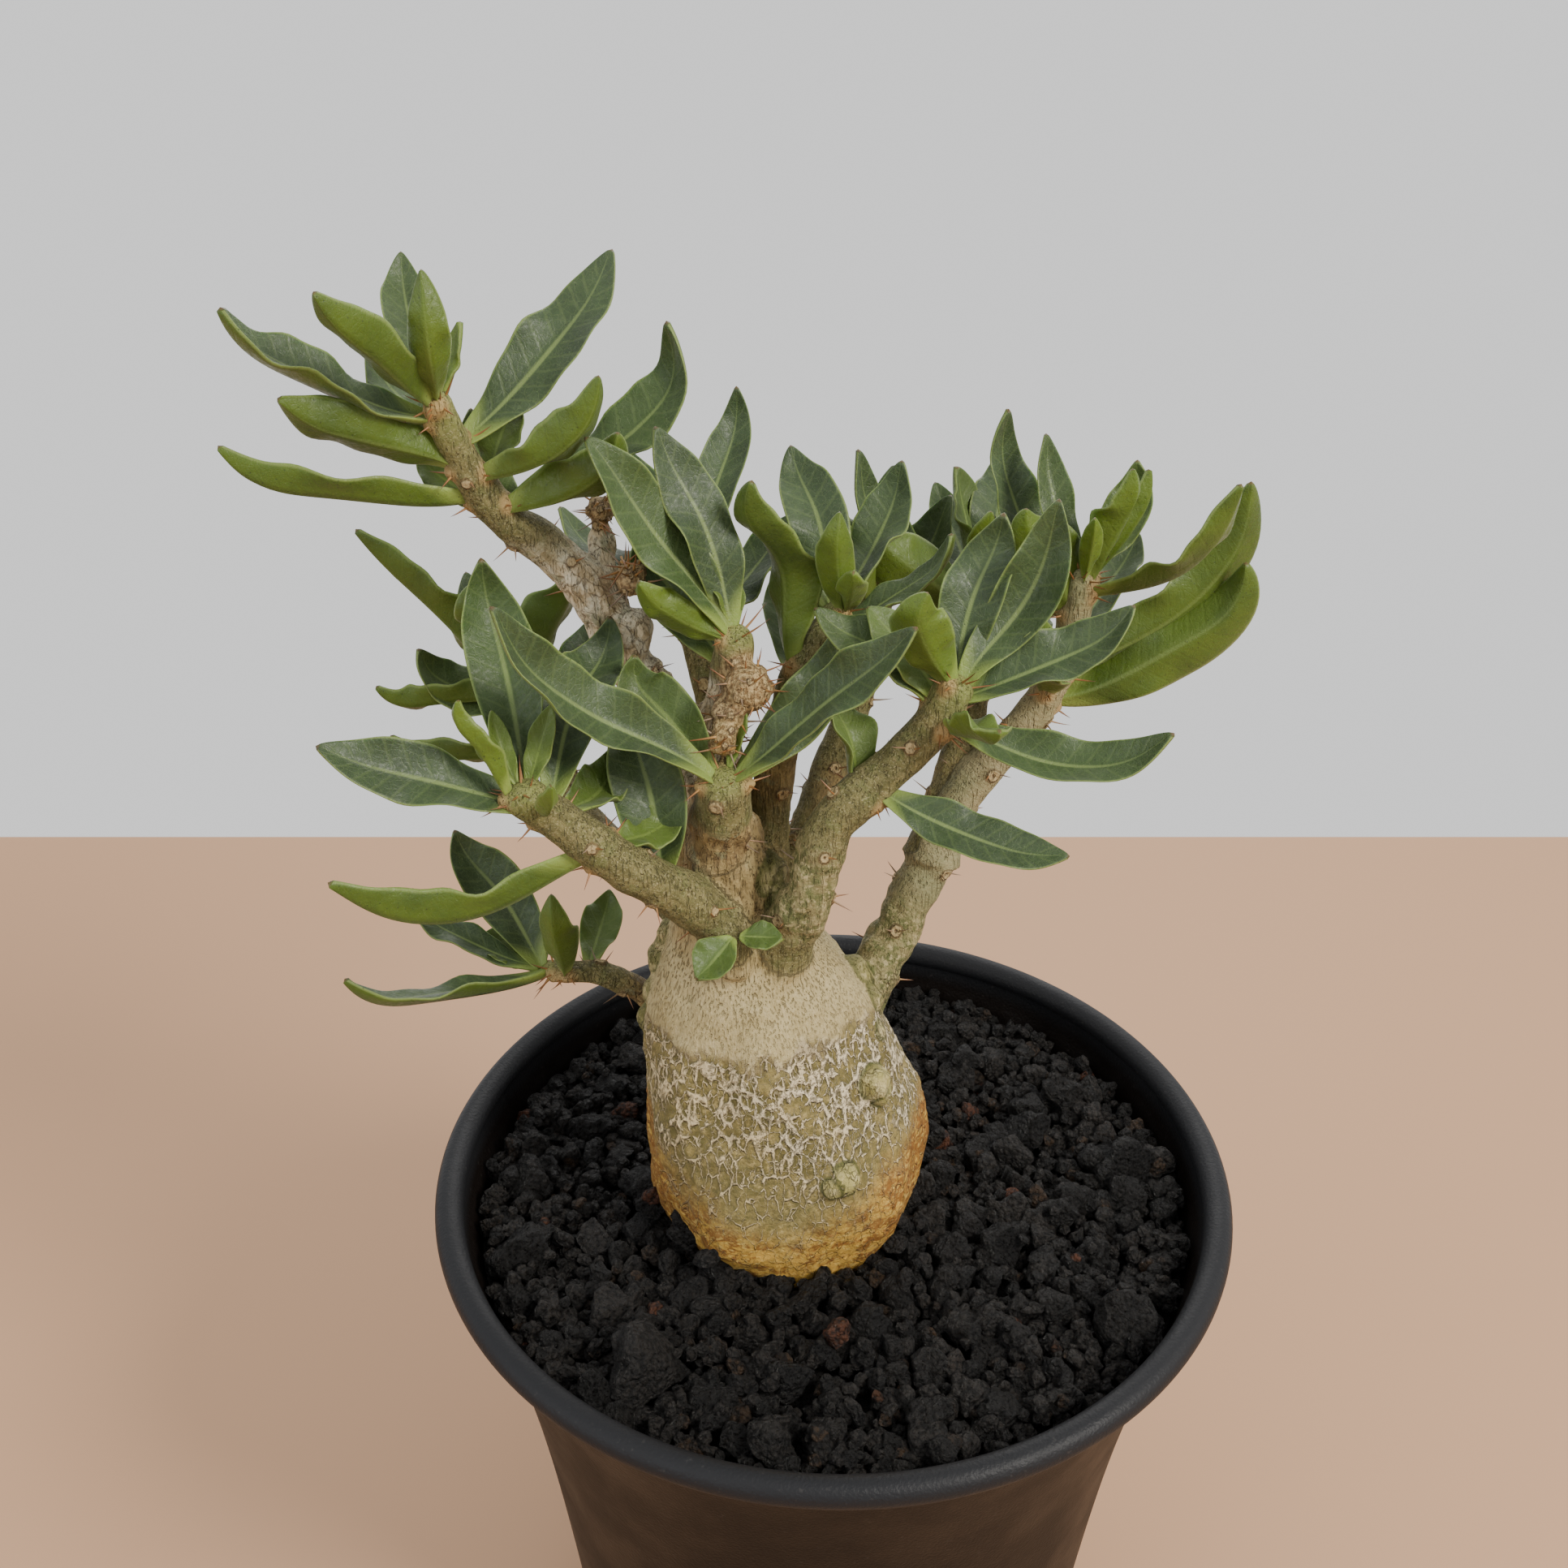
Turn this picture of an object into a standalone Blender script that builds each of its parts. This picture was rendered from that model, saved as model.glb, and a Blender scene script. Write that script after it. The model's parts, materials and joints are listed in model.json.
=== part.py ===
"""A potted pachypodium: a squat, grey caudex that branches into spiny, leafy stems, in a round black
nursery pot filled with lava gravel. Blender 4.5 script; the finished meshes are in metres, +Z up.

The origin is the middle of the pot's underside. +X is to the viewer's right and +Y is away from the
viewer. Routes, radii and leaves are held in millimetres, and MM turns them into metres.
"""

from collections import namedtuple

import bmesh
import bpy
import numpy as np
from mathutils import Matrix, Vector

MM = 0.001
SEAT_GAP = 0.3  # clearance between touching pieces

# Pot, turned round the Z axis
POT_HEIGHT = 105.0
RIM_RADIUS = 57.9  # centre of the rolled rim's round section
RIM_ROLL = 2.1  # radius of that section
WALL = 1.3
SHOULDER_RADIUS = 50.5  # wall radius just under the rim, before its taper
WALL_TAPER = 0.087  # radius lost for each millimetre of depth
RIM_FLARE = 8.5  # how far the wall flares out to meet the rim
FLARE_DEPTH = 22.0  # depth over which the flare dies away
FLOOR_THICKNESS = 2.0
FOOT_HEIGHT = 3.0  # the foot ring and the middle boss stand this far below the floor
FOOT_WIDTH = 4.0
BOSS_RADIUS = 12.0
DRAIN_COUNT = 8
DRAIN_RADIUS = 4.0
DRAIN_CIRCLE = 26.0
POT_STEPS = 36

# Gravel, a body of lava grains that fills the pot
SOIL_LEVEL = 96.5
GRAIN_SIZE = 7.0
GRAIN_HEIGHT = 2.6
GRAVEL_RINGS = 11
GRAVEL_STEPS = 54
GRAVEL_SEED = 5

# Caudex and trunk: middle of each level and its radius
CAUDEX_LEVELS = (
    ((-6.3, -1.0, 80.0), 8.0),
    ((-6.3, -1.0, 86.0), 12.5),
    ((-6.3, -1.0, 92.0), 15.0),
    ((-6.3, -1.0, 98.0), 17.6),
    ((-6.7, -1.0, 103.0), 19.7),
    ((-6.8, -1.0, 109.0), 20.4),
    ((-7.4, -1.0, 116.0), 19.8),
    ((-8.9, -1.0, 123.0), 18.3),
    ((-10.0, -1.0, 130.0), 16.9),
    ((-11.2, -1.0, 137.0), 14.8),
    ((-12.2, -1.0, 143.0), 12.1),
    ((-13.5, -1.2, 148.0), 9.2),
    ((-14.8, -1.4, 153.0), 7.0),
    ((-16.0, -1.5, 160.0), 6.0),
    ((-16.0, -1.0, 166.0), 5.2),
    ((-16.0, -1.0, 169.0), 3.8),
)
CAUDEX_SIDES = 22
ROOT_LEVEL = 94.0  # below this the caudex is a plain root in its hole
HOLE_CENTRE = CAUDEX_LEVELS[0][0][:2]
HOLE_RADIUS = 17.9
HOLE_FLOOR = CAUDEX_LEVELS[0][0][2] - SEAT_GAP
# Bark nodules: place on the caudex's skin (turn in degrees, height) and radius
NODULES = (
    ((331, 127.5), 2.2),
    ((297, 117.5), 2.0),
    ((174, 142), 2.8),
    ((182, 133.5), 2.2),
    ((349, 158), 2.8),
    ((5, 134.5), 2.5),
    ((80, 134), 2.8),
    ((120, 146), 2.6),
    ((40, 124), 2.4),
)

# Leaves and spines
BLADE_MID = 1.15  # thickness along the midrib
BLADE_EDGE = 0.62
BLADE_FOLD = 20.0  # how far each half rises from flat, in degrees
BLADE_SAG = 0.18  # how far the halves fall back, as a share of the half width
BLADE_WAVE = 0.10  # height of the edge's waves, as a share of the half width
LONG_LEAF = 16.0  # shorter leaves get fewer cross sections
LONG_SECTIONS = (0, 0.13, 0.34, 0.58, 0.8, 1.0)
SHORT_SECTIONS = (0, 0.18, 0.5, 0.8, 1.0)
STEM_SIDES = 6
RING_SPACING = 6.0  # between a stem's rings
FINE = 401  # points that a route is read from
ROOT_DEPTH = 0.45  # how far from the stem's middle a leaf starts, as a share of its radius
SPINE_EVERY = 4  # every fourth leaf has a pair of spines
WOOD_SPINE_STATION = 0.75  # where the old wood of a branch carries its pair
SPINE_LENGTH = 6.5
SPINE_RADIUS = 0.45
SPINE_SPREAD = 38.0  # degrees either side of the leaf it guards
LEAF_SEED = 11

# station: place along the branch's route, 0 at its root and 1 at its tip. heading: compass direction in
# the XY plane, in degrees from +X towards +Y. rise: angle of its chord above level. curl: how far it
# turns upwards from base to tip. roll: turn of the blade about its midrib. Lengths in millimetres.
Leaf = namedtuple("Leaf", "station heading rise length width curl roll")
# route: points from inside the older wood to the growing tip. radii: of the stem at root and tip.
# cut: where the wood, part of the caudex, ends and the leafy stem begins.
Branch = namedtuple("Branch", "route radii cut leaves")


def leaves(*rows):
    return [Leaf(*row) for row in rows]


BRANCHES = {
    "stem_front": Branch(
        route=[(-16, -2, 160), (-16, -4, 165), (-15.5, -6, 169.5), (-15, -7.5, 174), (-15, -9, 178)],
        radii=(4.2, 3.5),
        cut=0.52,
        leaves=leaves(
            (0.92, 197, 47, 38, 8, -15, 40),
            (0.96, 145, 47, 18, 8, 10, 40),
            (0.93, 345, 47, 33, 7.5, 12, -40),
            (0.88, 30, 50, 24, 7.5, 20, -40),
            (1.00, 60, 60, 8, 2.6, 0, 0),
        ),
    ),
    "stem_top": Branch(
        route=[(-16, 0, 163), (-16, 1, 170), (-16, 1.5, 177), (-15, 1.5, 183), (-14, 1, 189), (-13, 0, 194)],
        radii=(3.6, 2.4),
        cut=0.66,
        leaves=leaves(
            (0.96, 180, 57, 31, 8.5, -15, 40),
            (0.98, 150, 67, 27, 8, -15, 30),
            (0.94, 200, 40, 15, 5, 10, -80),
            (1.00, 125, 65, 11, 5, 10, 0),
            (0.80, 145, 50, 20, 8.5, 5, 40),
            (0.88, 120, 50, 22, 7.5, 15, 20),
        ),
    ),
    "stem_front_left": Branch(
        route=[
            (-12, -3, 148), (-17, -8, 155), (-22, -12, 162), (-28, -15, 168), (-34, -16, 174),
            (-38, -17, 178), (-40, -18, 181),
        ],
        radii=(3.7, 2.6),
        cut=0.30,
        leaves=leaves(
            (0.94, 110, 55, 30, 9, 15, 10),
            (0.88, 72, 38, 27, 8, 10, -20),
            (1.00, 195, 70, 14, 3.5, -10, -50),
            (0.98, 120, 50, 10, 2.8, 0, 0),
            (0.96, 65, 55, 11, 3.5, 0, -10),
            (0.83, 65, 15, 14, 6.5, 15, -20),
            (0.92, 295, 45, 10, 2.6, 50, 0),
            (0.89, 190, 25, 27, 8, 0, 35),
            (0.68, 200, 5, 33, 7, 40, -50),
            (0.44, 115, 60, 23, 9.5, -5, 20),
            (0.68, 45, 5, 12, 6, 0, -20),
        ),
    ),
    "stem_tall_left": Branch(
        route=[
            (-15, 0, 158), (-18, 3, 168), (-22, 6, 176), (-27, 8, 183), (-30, 9, 189), (-34, 9, 197),
            (-39, 9, 202), (-43, 7, 206), (-46, 5, 212), (-48, 3, 219), (-49, 2, 224),
        ],
        radii=(4.6, 1.9),
        cut=0.60,
        leaves=leaves(
            (0.95, 205, 35, 29, 6.5, 60, 20),
            (0.98, 240, 45, 24, 6, 30, -30),
            (0.99, 110, 40, 21, 6, 10, 10),
            (1.00, 280, 75, 17, 5, 15, 0),
            (0.98, 175, 45, 10, 2.8, 0, 0),
            (1.00, 50, 65, 9, 2.6, 0, 0),
            (0.90, 40, 40, 31, 8.5, 25, -30),
            (0.84, 345, 40, 22, 6, 35, 50),
            (0.76, 20, 45, 31, 8, 10, -30),
            (0.77, 345, 35, 20, 7, 40, 60),
            (0.86, 210, 30, 24, 7.5, -35, -70),
            (0.80, 195, 17, 31, 6.5, 30, -40),
            (0.75, 150, 25, 13, 6, 0, 30),
            (0.81, 50, 60, 13, 6, 20, -10),
            (0.68, 130, 50, 18, 6, 10, 20),
            (0.88, 130, 25, 22, 7, 20, 0),
        ),
    ),
    "stem_low_left": Branch(
        route=[(-20, 5, 127), (-27, 6, 131), (-30, 6, 133), (-34, 6, 135), (-39, 6, 135.5), (-43, 6, 136)],
        radii=(2.0, 1.6),
        cut=0.50,
        leaves=leaves(
            (0.94, 205, 15, 30, 5.5, 30, -20),
            (0.85, 265, 75, 18, 5.5, 5, 0),
            (0.97, 145, 50, 24, 8.5, 10, 30),
            (0.98, 150, 10, 11, 7, 10, 20),
            (0.99, 165, 30, 22, 5, 25, 10),
            (1.00, 115, 20, 10, 6, 0, 10),
            (0.73, 80, 25, 14, 6, 0, -10),
        ),
    ),
    "stem_front_right": Branch(
        route=[
            (-9, -5, 146), (-5, -8, 156), (-3, -8.5, 163), (-1, -8, 170), (5, -7, 176), (10, -6, 181),
            (13, -6, 186), (15, -6, 190),
        ],
        radii=(3.8, 2.5),
        cut=0.48,
        leaves=leaves(
            (0.98, 220, 70, 15, 7.5, 10, -50),
            (0.94, 55, 65, 23, 8, 0, -20),
            (0.96, 30, 60, 26, 8, 0, -40),
            (0.92, 5, 30, 25, 7.5, 10, -30),
            (0.87, 300, 20, 13, 6.5, 50, 20),
            (0.86, 345, 5, 29, 7, 35, -30),
            (0.60, 120, 55, 13, 6, 10, -20),
            (0.62, 340, -10, 26, 7, 25, -30),
            (0.90, 160, 35, 20, 6.5, -40, 20),
            (0.92, 150, 45, 15, 7, -30, 30),
        ),
    ),
    "stem_right": Branch(
        route=[
            (-3, 3, 124), (3, 5, 130.5), (7.5, 9, 137), (11, 12, 144), (14.5, 14, 151), (17, 15, 158),
            (22, 16, 165), (27, 16, 172), (30, 16, 178), (32, 15, 187), (32.5, 14, 196),
        ],
        radii=(4.2, 2.0),
        cut=0.63,
        leaves=leaves(
            (0.75, 0, 40, 33, 9.5, 50, 110),
            (0.96, 330, 45, 27, 7, 45, 20),
            (0.80, 5, 50, 36, 9.5, 30, 80),
            (0.90, 135, 65, 30, 6.5, 35, 20),
            (0.96, 120, 65, 21, 5, -20, 10),
            (0.98, 330, 75, 17, 6, 10, 30),
            (1.00, 50, 50, 17, 6.5, 5, -20),
            (0.99, 10, 65, 16, 4.5, 5, 60),
            (1.00, 275, 75, 10, 3, 0, 10),
            (0.92, 190, 65, 17, 8, -5, -90),
            (0.77, 245, 70, 14, 8, 20, 40),
            (0.86, 55, 25, 22, 8, 20, 0),
        ),
    ),
    "stem_back_left": Branch(
        route=[
            (-16, 4, 140), (-24, 9, 147), (-32, 15, 151), (-38, 20, 155), (-42, 25, 161), (-45, 28, 168),
            (-46, 29, 172),
        ],
        radii=(3.2, 2.0),
        cut=0.64,
        leaves=leaves(
            (0.94, 175, 50, 34, 8, 0, -60),
            (0.88, 175, 35, 19, 8, 5, 30),
            (0.98, 190, 5, 21, 5.5, 45, -60),
            (0.80, 190, 10, 22, 5.5, 35, -60),
            (0.90, 60, 60, 21, 9, 0, 100),
            (0.98, 235, 75, 20, 8, 0, -40),
            (1.00, 110, 55, 14, 5, 0, 10),
            (0.92, 120, 30, 26, 8, 25, 0),
            (0.84, 75, 20, 24, 8, 20, 0),
        ),
    ),
    "stem_centre": Branch(
        route=[
            (-10, 4, 150), (-10, 7, 157), (-9, 8, 165), (-8, 7, 172), (-7, 6, 178), (-5.5, 5, 184),
            (-2.5, 5.5, 190), (1, 7, 194),
        ],
        radii=(3.2, 2.2),
        cut=0.55,
        leaves=leaves(
            (0.78, 210, 77, 28, 8.5, 5, -20),
            (0.94, 110, 50, 24, 8, 0, 20),
            (0.95, 105, 45, 18, 7, 10, 10),
            (0.98, 260, 75, 16, 5, 10, -20),
            (0.97, 60, 45, 22, 7.5, -5, 10),
            (1.00, 275, 50, 11, 4, 0, 20),
            (0.88, 10, 40, 21, 5, 30, -10),
            (0.72, 95, 30, 20, 7, 15, 0),
        ),
    ),
    "stem_back": Branch(
        route=[(-14, 4, 150), (-15, 9, 162), (-16, 12, 172), (-19, 18, 182), (-21, 21, 190), (-22, 22, 196)],
        radii=(3.2, 2.0),
        cut=0.52,
        leaves=leaves(
            (0.92, 70, 45, 29, 6.5, 30, -10),
            (0.95, 285, 70, 14, 6, 10, -50),
            (0.97, 220, 55, 15, 6, 5, -30),
            (0.85, 265, 40, 14, 6, 0, -10),
            (1.00, 90, 55, 13, 5, 0, -10),
            (0.88, 120, 40, 23, 8, 20, 0),
            (0.80, 150, 30, 24, 8, 15, 0),
            (0.74, 50, 30, 24, 8, 25, 0),
        ),
    ),
    "stem_back_right": Branch(
        route=[(14, 14, 150), (16, 16, 157), (18, 20, 164), (20, 24, 172), (20, 26, 182), (20, 26, 190)],
        radii=(3.2, 2.0),
        cut=0.40,
        leaves=leaves(
            (0.94, 75, 40, 23, 8, -15, 0),
            (0.90, 160, 50, 27, 6.5, 30, 20),
            (0.87, 190, 45, 20, 9, 0, -100),
            (0.96, 105, 55, 17, 8, 15, -50),
            (0.81, 310, 45, 13, 7, 0, 50),
            (0.74, 50, 5, 16, 8, 0, -40),
            (0.84, 100, 25, 27, 8, 20, 0),
            (0.78, 25, 25, 25, 8, 25, 0),
            (1.00, 280, 75, 12, 5, 0, 0),
        ),
    ),
    "stem_back_centre": Branch(
        route=[(-6, 8, 145), (-4, 12, 155), (0, 18, 165), (4, 24, 174), (6, 27, 184), (6, 28, 190)],
        radii=(3.2, 2.0),
        cut=0.42,
        leaves=leaves(
            (0.94, 80, 40, 20, 6.5, -10, 40),
            (0.97, 115, 25, 15, 6, 0, 10),
            (0.90, 50, 35, 20, 7, 20, -10),
            (0.83, 135, 25, 24, 8, 15, 20),
            (0.78, 270, 25, 14, 7.5, 20, 20),
            (0.89, 230, 50, 18, 7, 0, -40),
            (0.80, 90, 20, 27, 8, 25, 0),
            (1.00, 170, 65, 13, 5, 0, 0),
        ),
    ),
}

# Old wood that carries no leaves: a dead stub on the tall left branch, and knobs round it
STUBS = (
    ([(-30, 10, 188), (-31, 12.5, 196), (-31.5, 14, 203)], (1.9, 1.3)),
    ([(-29, 8, 185), (-27, 8, 190), (-26, 8, 193)], (2.4, 1.6)),
    ([(-16.5, 1, 168), (-18.5, 0, 171), (-20, -0.5, 174)], (2.4, 1.5)),
)
# The young sprout low on the front of the trunk
SPROUT_ROUTE = [(-13.9, -11.2, 151), (-13.8, -11.5, 153), (-13.6, -12.2, 155)]
SPROUT_RADII = (1.4, 1.2)
SPROUT_LEAVES = leaves(
    (0.90, 225, -25, 7.5, 6, 15, 20),
    (0.90, 345, 10, 6, 4.2, 10, -30),
)


def clear_scene():
    for obj in list(bpy.data.objects):
        bpy.data.objects.remove(obj, do_unlink=True)


def plain_material(name, colour, roughness):
    """A material whose look is one Principled shader."""
    material = bpy.data.materials.new(name)
    material.use_nodes = True
    shader = material.node_tree.nodes["Principled BSDF"]
    shader.inputs["Base Color"].default_value = (*colour, 1.0)
    shader.inputs["Roughness"].default_value = roughness
    shader.inputs["Metallic"].default_value = 0.0
    return material


def new_object(name, mesh, material=None):
    obj = bpy.data.objects.new(name, mesh)
    bpy.context.scene.collection.objects.link(obj)
    if material:
        mesh.materials.clear()
        mesh.materials.append(material)
    return obj


def mesh_from(name, points, faces):
    """A mesh from points in millimetres, with its faces turned outwards."""
    mesh = bpy.data.meshes.new(name)
    mesh.from_pydata((np.asarray(points) * MM).tolist(), [], faces)
    shell = bmesh.new()
    shell.from_mesh(mesh)
    bmesh.ops.recalc_face_normals(shell, faces=shell.faces)
    shell.to_mesh(mesh)
    shell.free()
    return mesh


def unit(vectors):
    return vectors / np.linalg.norm(vectors, axis=-1, keepdims=True)


def smooth_route(points, count):
    """count points, evenly spaced by length, on a Catmull-Rom curve through the route's own points."""
    knots = np.asarray(points, float)
    knots = np.vstack([2 * knots[0] - knots[1], knots, 2 * knots[-1] - knots[-2]])
    share = np.linspace(0, 1, 24, endpoint=False)[:, None]
    pieces = []
    for a, b, c, d in zip(knots, knots[1:], knots[2:], knots[3:]):
        linear = (c - a) * share
        square = (2 * a - 5 * b + 4 * c - d) * share**2
        cube = (3 * b - a - 3 * c + d) * share**3
        pieces.append(0.5 * (2 * b + linear + square + cube))
    fine = np.vstack([*pieces, knots[-2:-1]])
    length = np.concatenate([[0], np.cumsum(np.linalg.norm(np.diff(fine, axis=0), axis=1))])
    even = np.linspace(0, length[-1], count)
    return np.stack([np.interp(even, length, fine[:, axis]) for axis in range(3)], axis=1)


def tube(points, along, radii, sides):
    """A closed tube: rings carried along the points, each square to the route, with fans at both ends."""
    count = len(points)
    side = unit(np.cross(along, (0.31, 0.95, 0.05)))
    up = np.cross(along, side)
    turn = np.arange(sides) * 2 * np.pi / sides
    rings = points[:, None] + np.asarray(radii, float)[:, None, None] * (
        side[:, None] * np.cos(turn)[None, :, None] + up[:, None] * np.sin(turn)[None, :, None]
    )
    faces = []
    for ring in range(count - 1):
        for step in range(sides):
            here, after = ring * sides + step, ring * sides + (step + 1) % sides
            faces.append((here, after, after + sides))
            faces.append((here, after + sides, here + sides))
    first, last = count * sides, count * sides + 1
    top = (count - 1) * sides
    for step in range(sides):
        after = (step + 1) % sides
        faces.append((first, after, step))
        faces.append((last, top + step, top + after))
    return np.vstack([rings.reshape(-1, 3), points[:1], points[-1:]]), faces


def blade(root, leaf, phase):
    """A closed leaf. Its midrib is an arc that turns by curl in the upright plane of its heading. Its half
    width is a power of a sine along it, so it is slim at both ends, and each half rises by the fold and
    waves at its edge. Both faces are cut into the same triangles."""
    heading, rise, roll = np.radians([leaf.heading, leaf.rise, leaf.roll])
    chord = np.array([np.cos(rise) * np.cos(heading), np.cos(rise) * np.sin(heading), np.sin(rise)])
    sky = np.array([-np.sin(rise) * np.cos(heading), -np.sin(rise) * np.sin(heading), np.cos(rise)])
    stations = np.array(SHORT_SECTIONS if leaf.length < LONG_LEAF else LONG_SECTIONS)
    fine = np.linspace(0, 1, 61)
    bend = np.radians(leaf.curl) * (fine - 0.5)
    tangent = chord * np.cos(bend)[:, None] + sky * np.sin(bend)[:, None]
    travel = np.vstack([np.zeros(3), np.cumsum((tangent[1:] + tangent[:-1]) / 2, axis=0) * leaf.length / 60])
    middle = root + np.stack([np.interp(stations, fine, travel[:, axis]) for axis in range(3)], axis=1)
    tangent = np.stack([np.interp(stations, fine, tangent[:, axis]) for axis in range(3)], axis=1)
    level = np.cross(sky, chord)
    lift = np.cross(unit(tangent), level)
    across = level * np.cos(roll) - lift * np.sin(roll)
    lift = lift * np.cos(roll) + level * np.sin(roll)
    half = leaf.width / 2 * (np.sin(np.pi * stations**1.15) ** 0.7 + 0.2 * (1 - stations) ** 6)
    fold = np.radians(BLADE_FOLD)
    sections = []
    for side in (-1, 0, 1):
        reach = half * abs(side)
        wave = BLADE_WAVE * leaf.width / 2 * np.sin(np.pi * stations) * abs(side)
        rise_here = reach * (np.sin(fold) - BLADE_SAG) + wave * np.sin(4 * np.pi * stations + phase + side)
        sections.append(middle + across * (reach * np.cos(fold) * side)[:, None] + lift * rise_here[:, None])
    thick = np.array([BLADE_EDGE, BLADE_MID, BLADE_EDGE]) / 2
    upper = [section + lift * depth for section, depth in zip(sections, thick)]
    lower = [section - lift * depth for section, depth in zip(sections, thick)]
    rings = np.stack([*upper, *lower[::-1]], axis=1)[:-1]
    tip = middle[-1]
    faces = []
    count = len(rings)
    for ring in range(count - 1):
        low, high = ring * 6, ring * 6 + 6
        for step in (0, 1):
            faces.append((low + step, low + step + 1, high + step))
            faces.append((low + step + 1, high + step + 1, high + step))
            faces.append((low + 5 - step, high + 5 - step, low + 4 - step))
            faces.append((low + 4 - step, high + 5 - step, high + 4 - step))
        for start, end in ((2, 3), (5, 0)):
            faces.append((low + start, low + end, high + end))
            faces.append((low + start, high + end, high + start))
    end_ring, tip_index = (count - 1) * 6, count * 6
    for step in range(6):
        faces.append((end_ring + step, end_ring + (step + 1) % 6, tip_index))
    faces += [(0, 5, 1), (5, 4, 1), (1, 4, 2), (4, 3, 2)]
    return np.vstack([rings.reshape(-1, 3), tip]), faces


def spine(root, heading, rise, reach):
    """A three-sided needle with its root inside the stem."""
    heading, rise = np.radians([heading, rise])
    way = np.array([np.cos(rise) * np.cos(heading), np.cos(rise) * np.sin(heading), np.sin(rise)])
    side = unit(np.cross(way, (0.1, 0.2, 1.0)))
    up = np.cross(way, side)
    turn = np.arange(3) * 2 * np.pi / 3
    ring = root + SPINE_RADIUS * (side * np.cos(turn)[:, None] + up * np.sin(turn)[:, None])
    points = np.vstack([ring, root + way * reach])
    return points, [(0, 1, 2), (0, 3, 1), (1, 3, 2), (2, 3, 0)]


def fuse(name, body, pieces, material, solver="EXACT"):
    """The body with its pieces joined to it by one Boolean union on their collection."""
    obj = new_object(name, mesh_from(name, *body), material)
    if not pieces:
        return obj
    group = bpy.data.collections.new(name + "_pieces")
    bpy.context.scene.collection.children.link(group)
    for number, piece in enumerate(pieces):
        part = bpy.data.objects.new(f"{name}_piece_{number}", mesh_from("piece", *piece))
        part.data.materials.append(material)
        group.objects.link(part)
    union = obj.modifiers.new("union", "BOOLEAN")
    union.operation = "UNION"
    union.operand_type = "COLLECTION"
    union.collection = group
    union.solver = solver
    bpy.context.view_layer.update()
    joined = bpy.data.meshes.new_from_object(obj.evaluated_get(bpy.context.evaluated_depsgraph_get()))
    obj.modifiers.clear()
    obj.data = joined
    for part in list(group.objects):
        bpy.data.objects.remove(part, do_unlink=True)
    bpy.data.collections.remove(group)
    return obj


def tidy_mesh(obj, nearest=0.002):
    """Merges points closer than nearest millimetres and turns what is left into triangles."""
    shell = bmesh.new()
    shell.from_mesh(obj.data)
    bmesh.ops.remove_doubles(shell, verts=shell.verts, dist=nearest * MM)
    bmesh.ops.triangulate(shell, faces=shell.faces)
    shell.to_mesh(obj.data)
    shell.free()


def route_length(route):
    return np.linalg.norm(np.diff(smooth_route(route, FINE), axis=0), axis=1).sum()


def stem(route, radii, start=0, end=1, sides=STEM_SIDES):
    """The tube of a route between two of its stations, with both ends cut square to the route."""
    fine = smooth_route(route, FINE)
    along = np.gradient(fine, axis=0)
    count = max(3, int(round((end - start) * route_length(route) / RING_SPACING)) + 1)
    stations = np.linspace(start, end, count)
    share = np.linspace(0, 1, FINE)
    points = np.stack([np.interp(stations, share, fine[:, axis]) for axis in range(3)], axis=1)
    along = np.stack([np.interp(stations, share, along[:, axis]) for axis in range(3)], axis=1)
    return tube(points, unit(along), np.interp(stations, [0, 1], radii), sides)


def leaf_root(branch, leaf):
    """A leaf starts inside the stem, on the side that it grows from."""
    station = min(leaf.station, 0.985)
    heading = np.radians(leaf.heading)
    inside = ROOT_DEPTH * np.interp(station, [0, 1], branch.radii)
    middle = smooth_route(branch.route, FINE)[int(round(station * (FINE - 1)))]
    return middle + inside * np.array([np.cos(heading), np.sin(heading), 0])


def leafy_pieces(branch, draw):
    """Every leaf of a branch, and a pair of spines beside some of the long ones."""
    pieces = []
    for number, leaf in enumerate(branch.leaves):
        root = leaf_root(branch, leaf)
        pieces.append(blade(root, leaf, draw.uniform(0, 2 * np.pi)))
        if number % SPINE_EVERY == 0 and leaf.length > LONG_LEAF:
            for side in (-1, 1):
                pieces.append(spine(root, leaf.heading + side * SPINE_SPREAD, leaf.rise * 0.3, SPINE_LENGTH))
    return pieces


def build_leafy_stem(name, branch, material, draw):
    start = branch.cut + SEAT_GAP / route_length(branch.route)
    obj = fuse(name, stem(branch.route, branch.radii, start), leafy_pieces(branch, draw), material)
    tidy_mesh(obj)
    return obj


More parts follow.
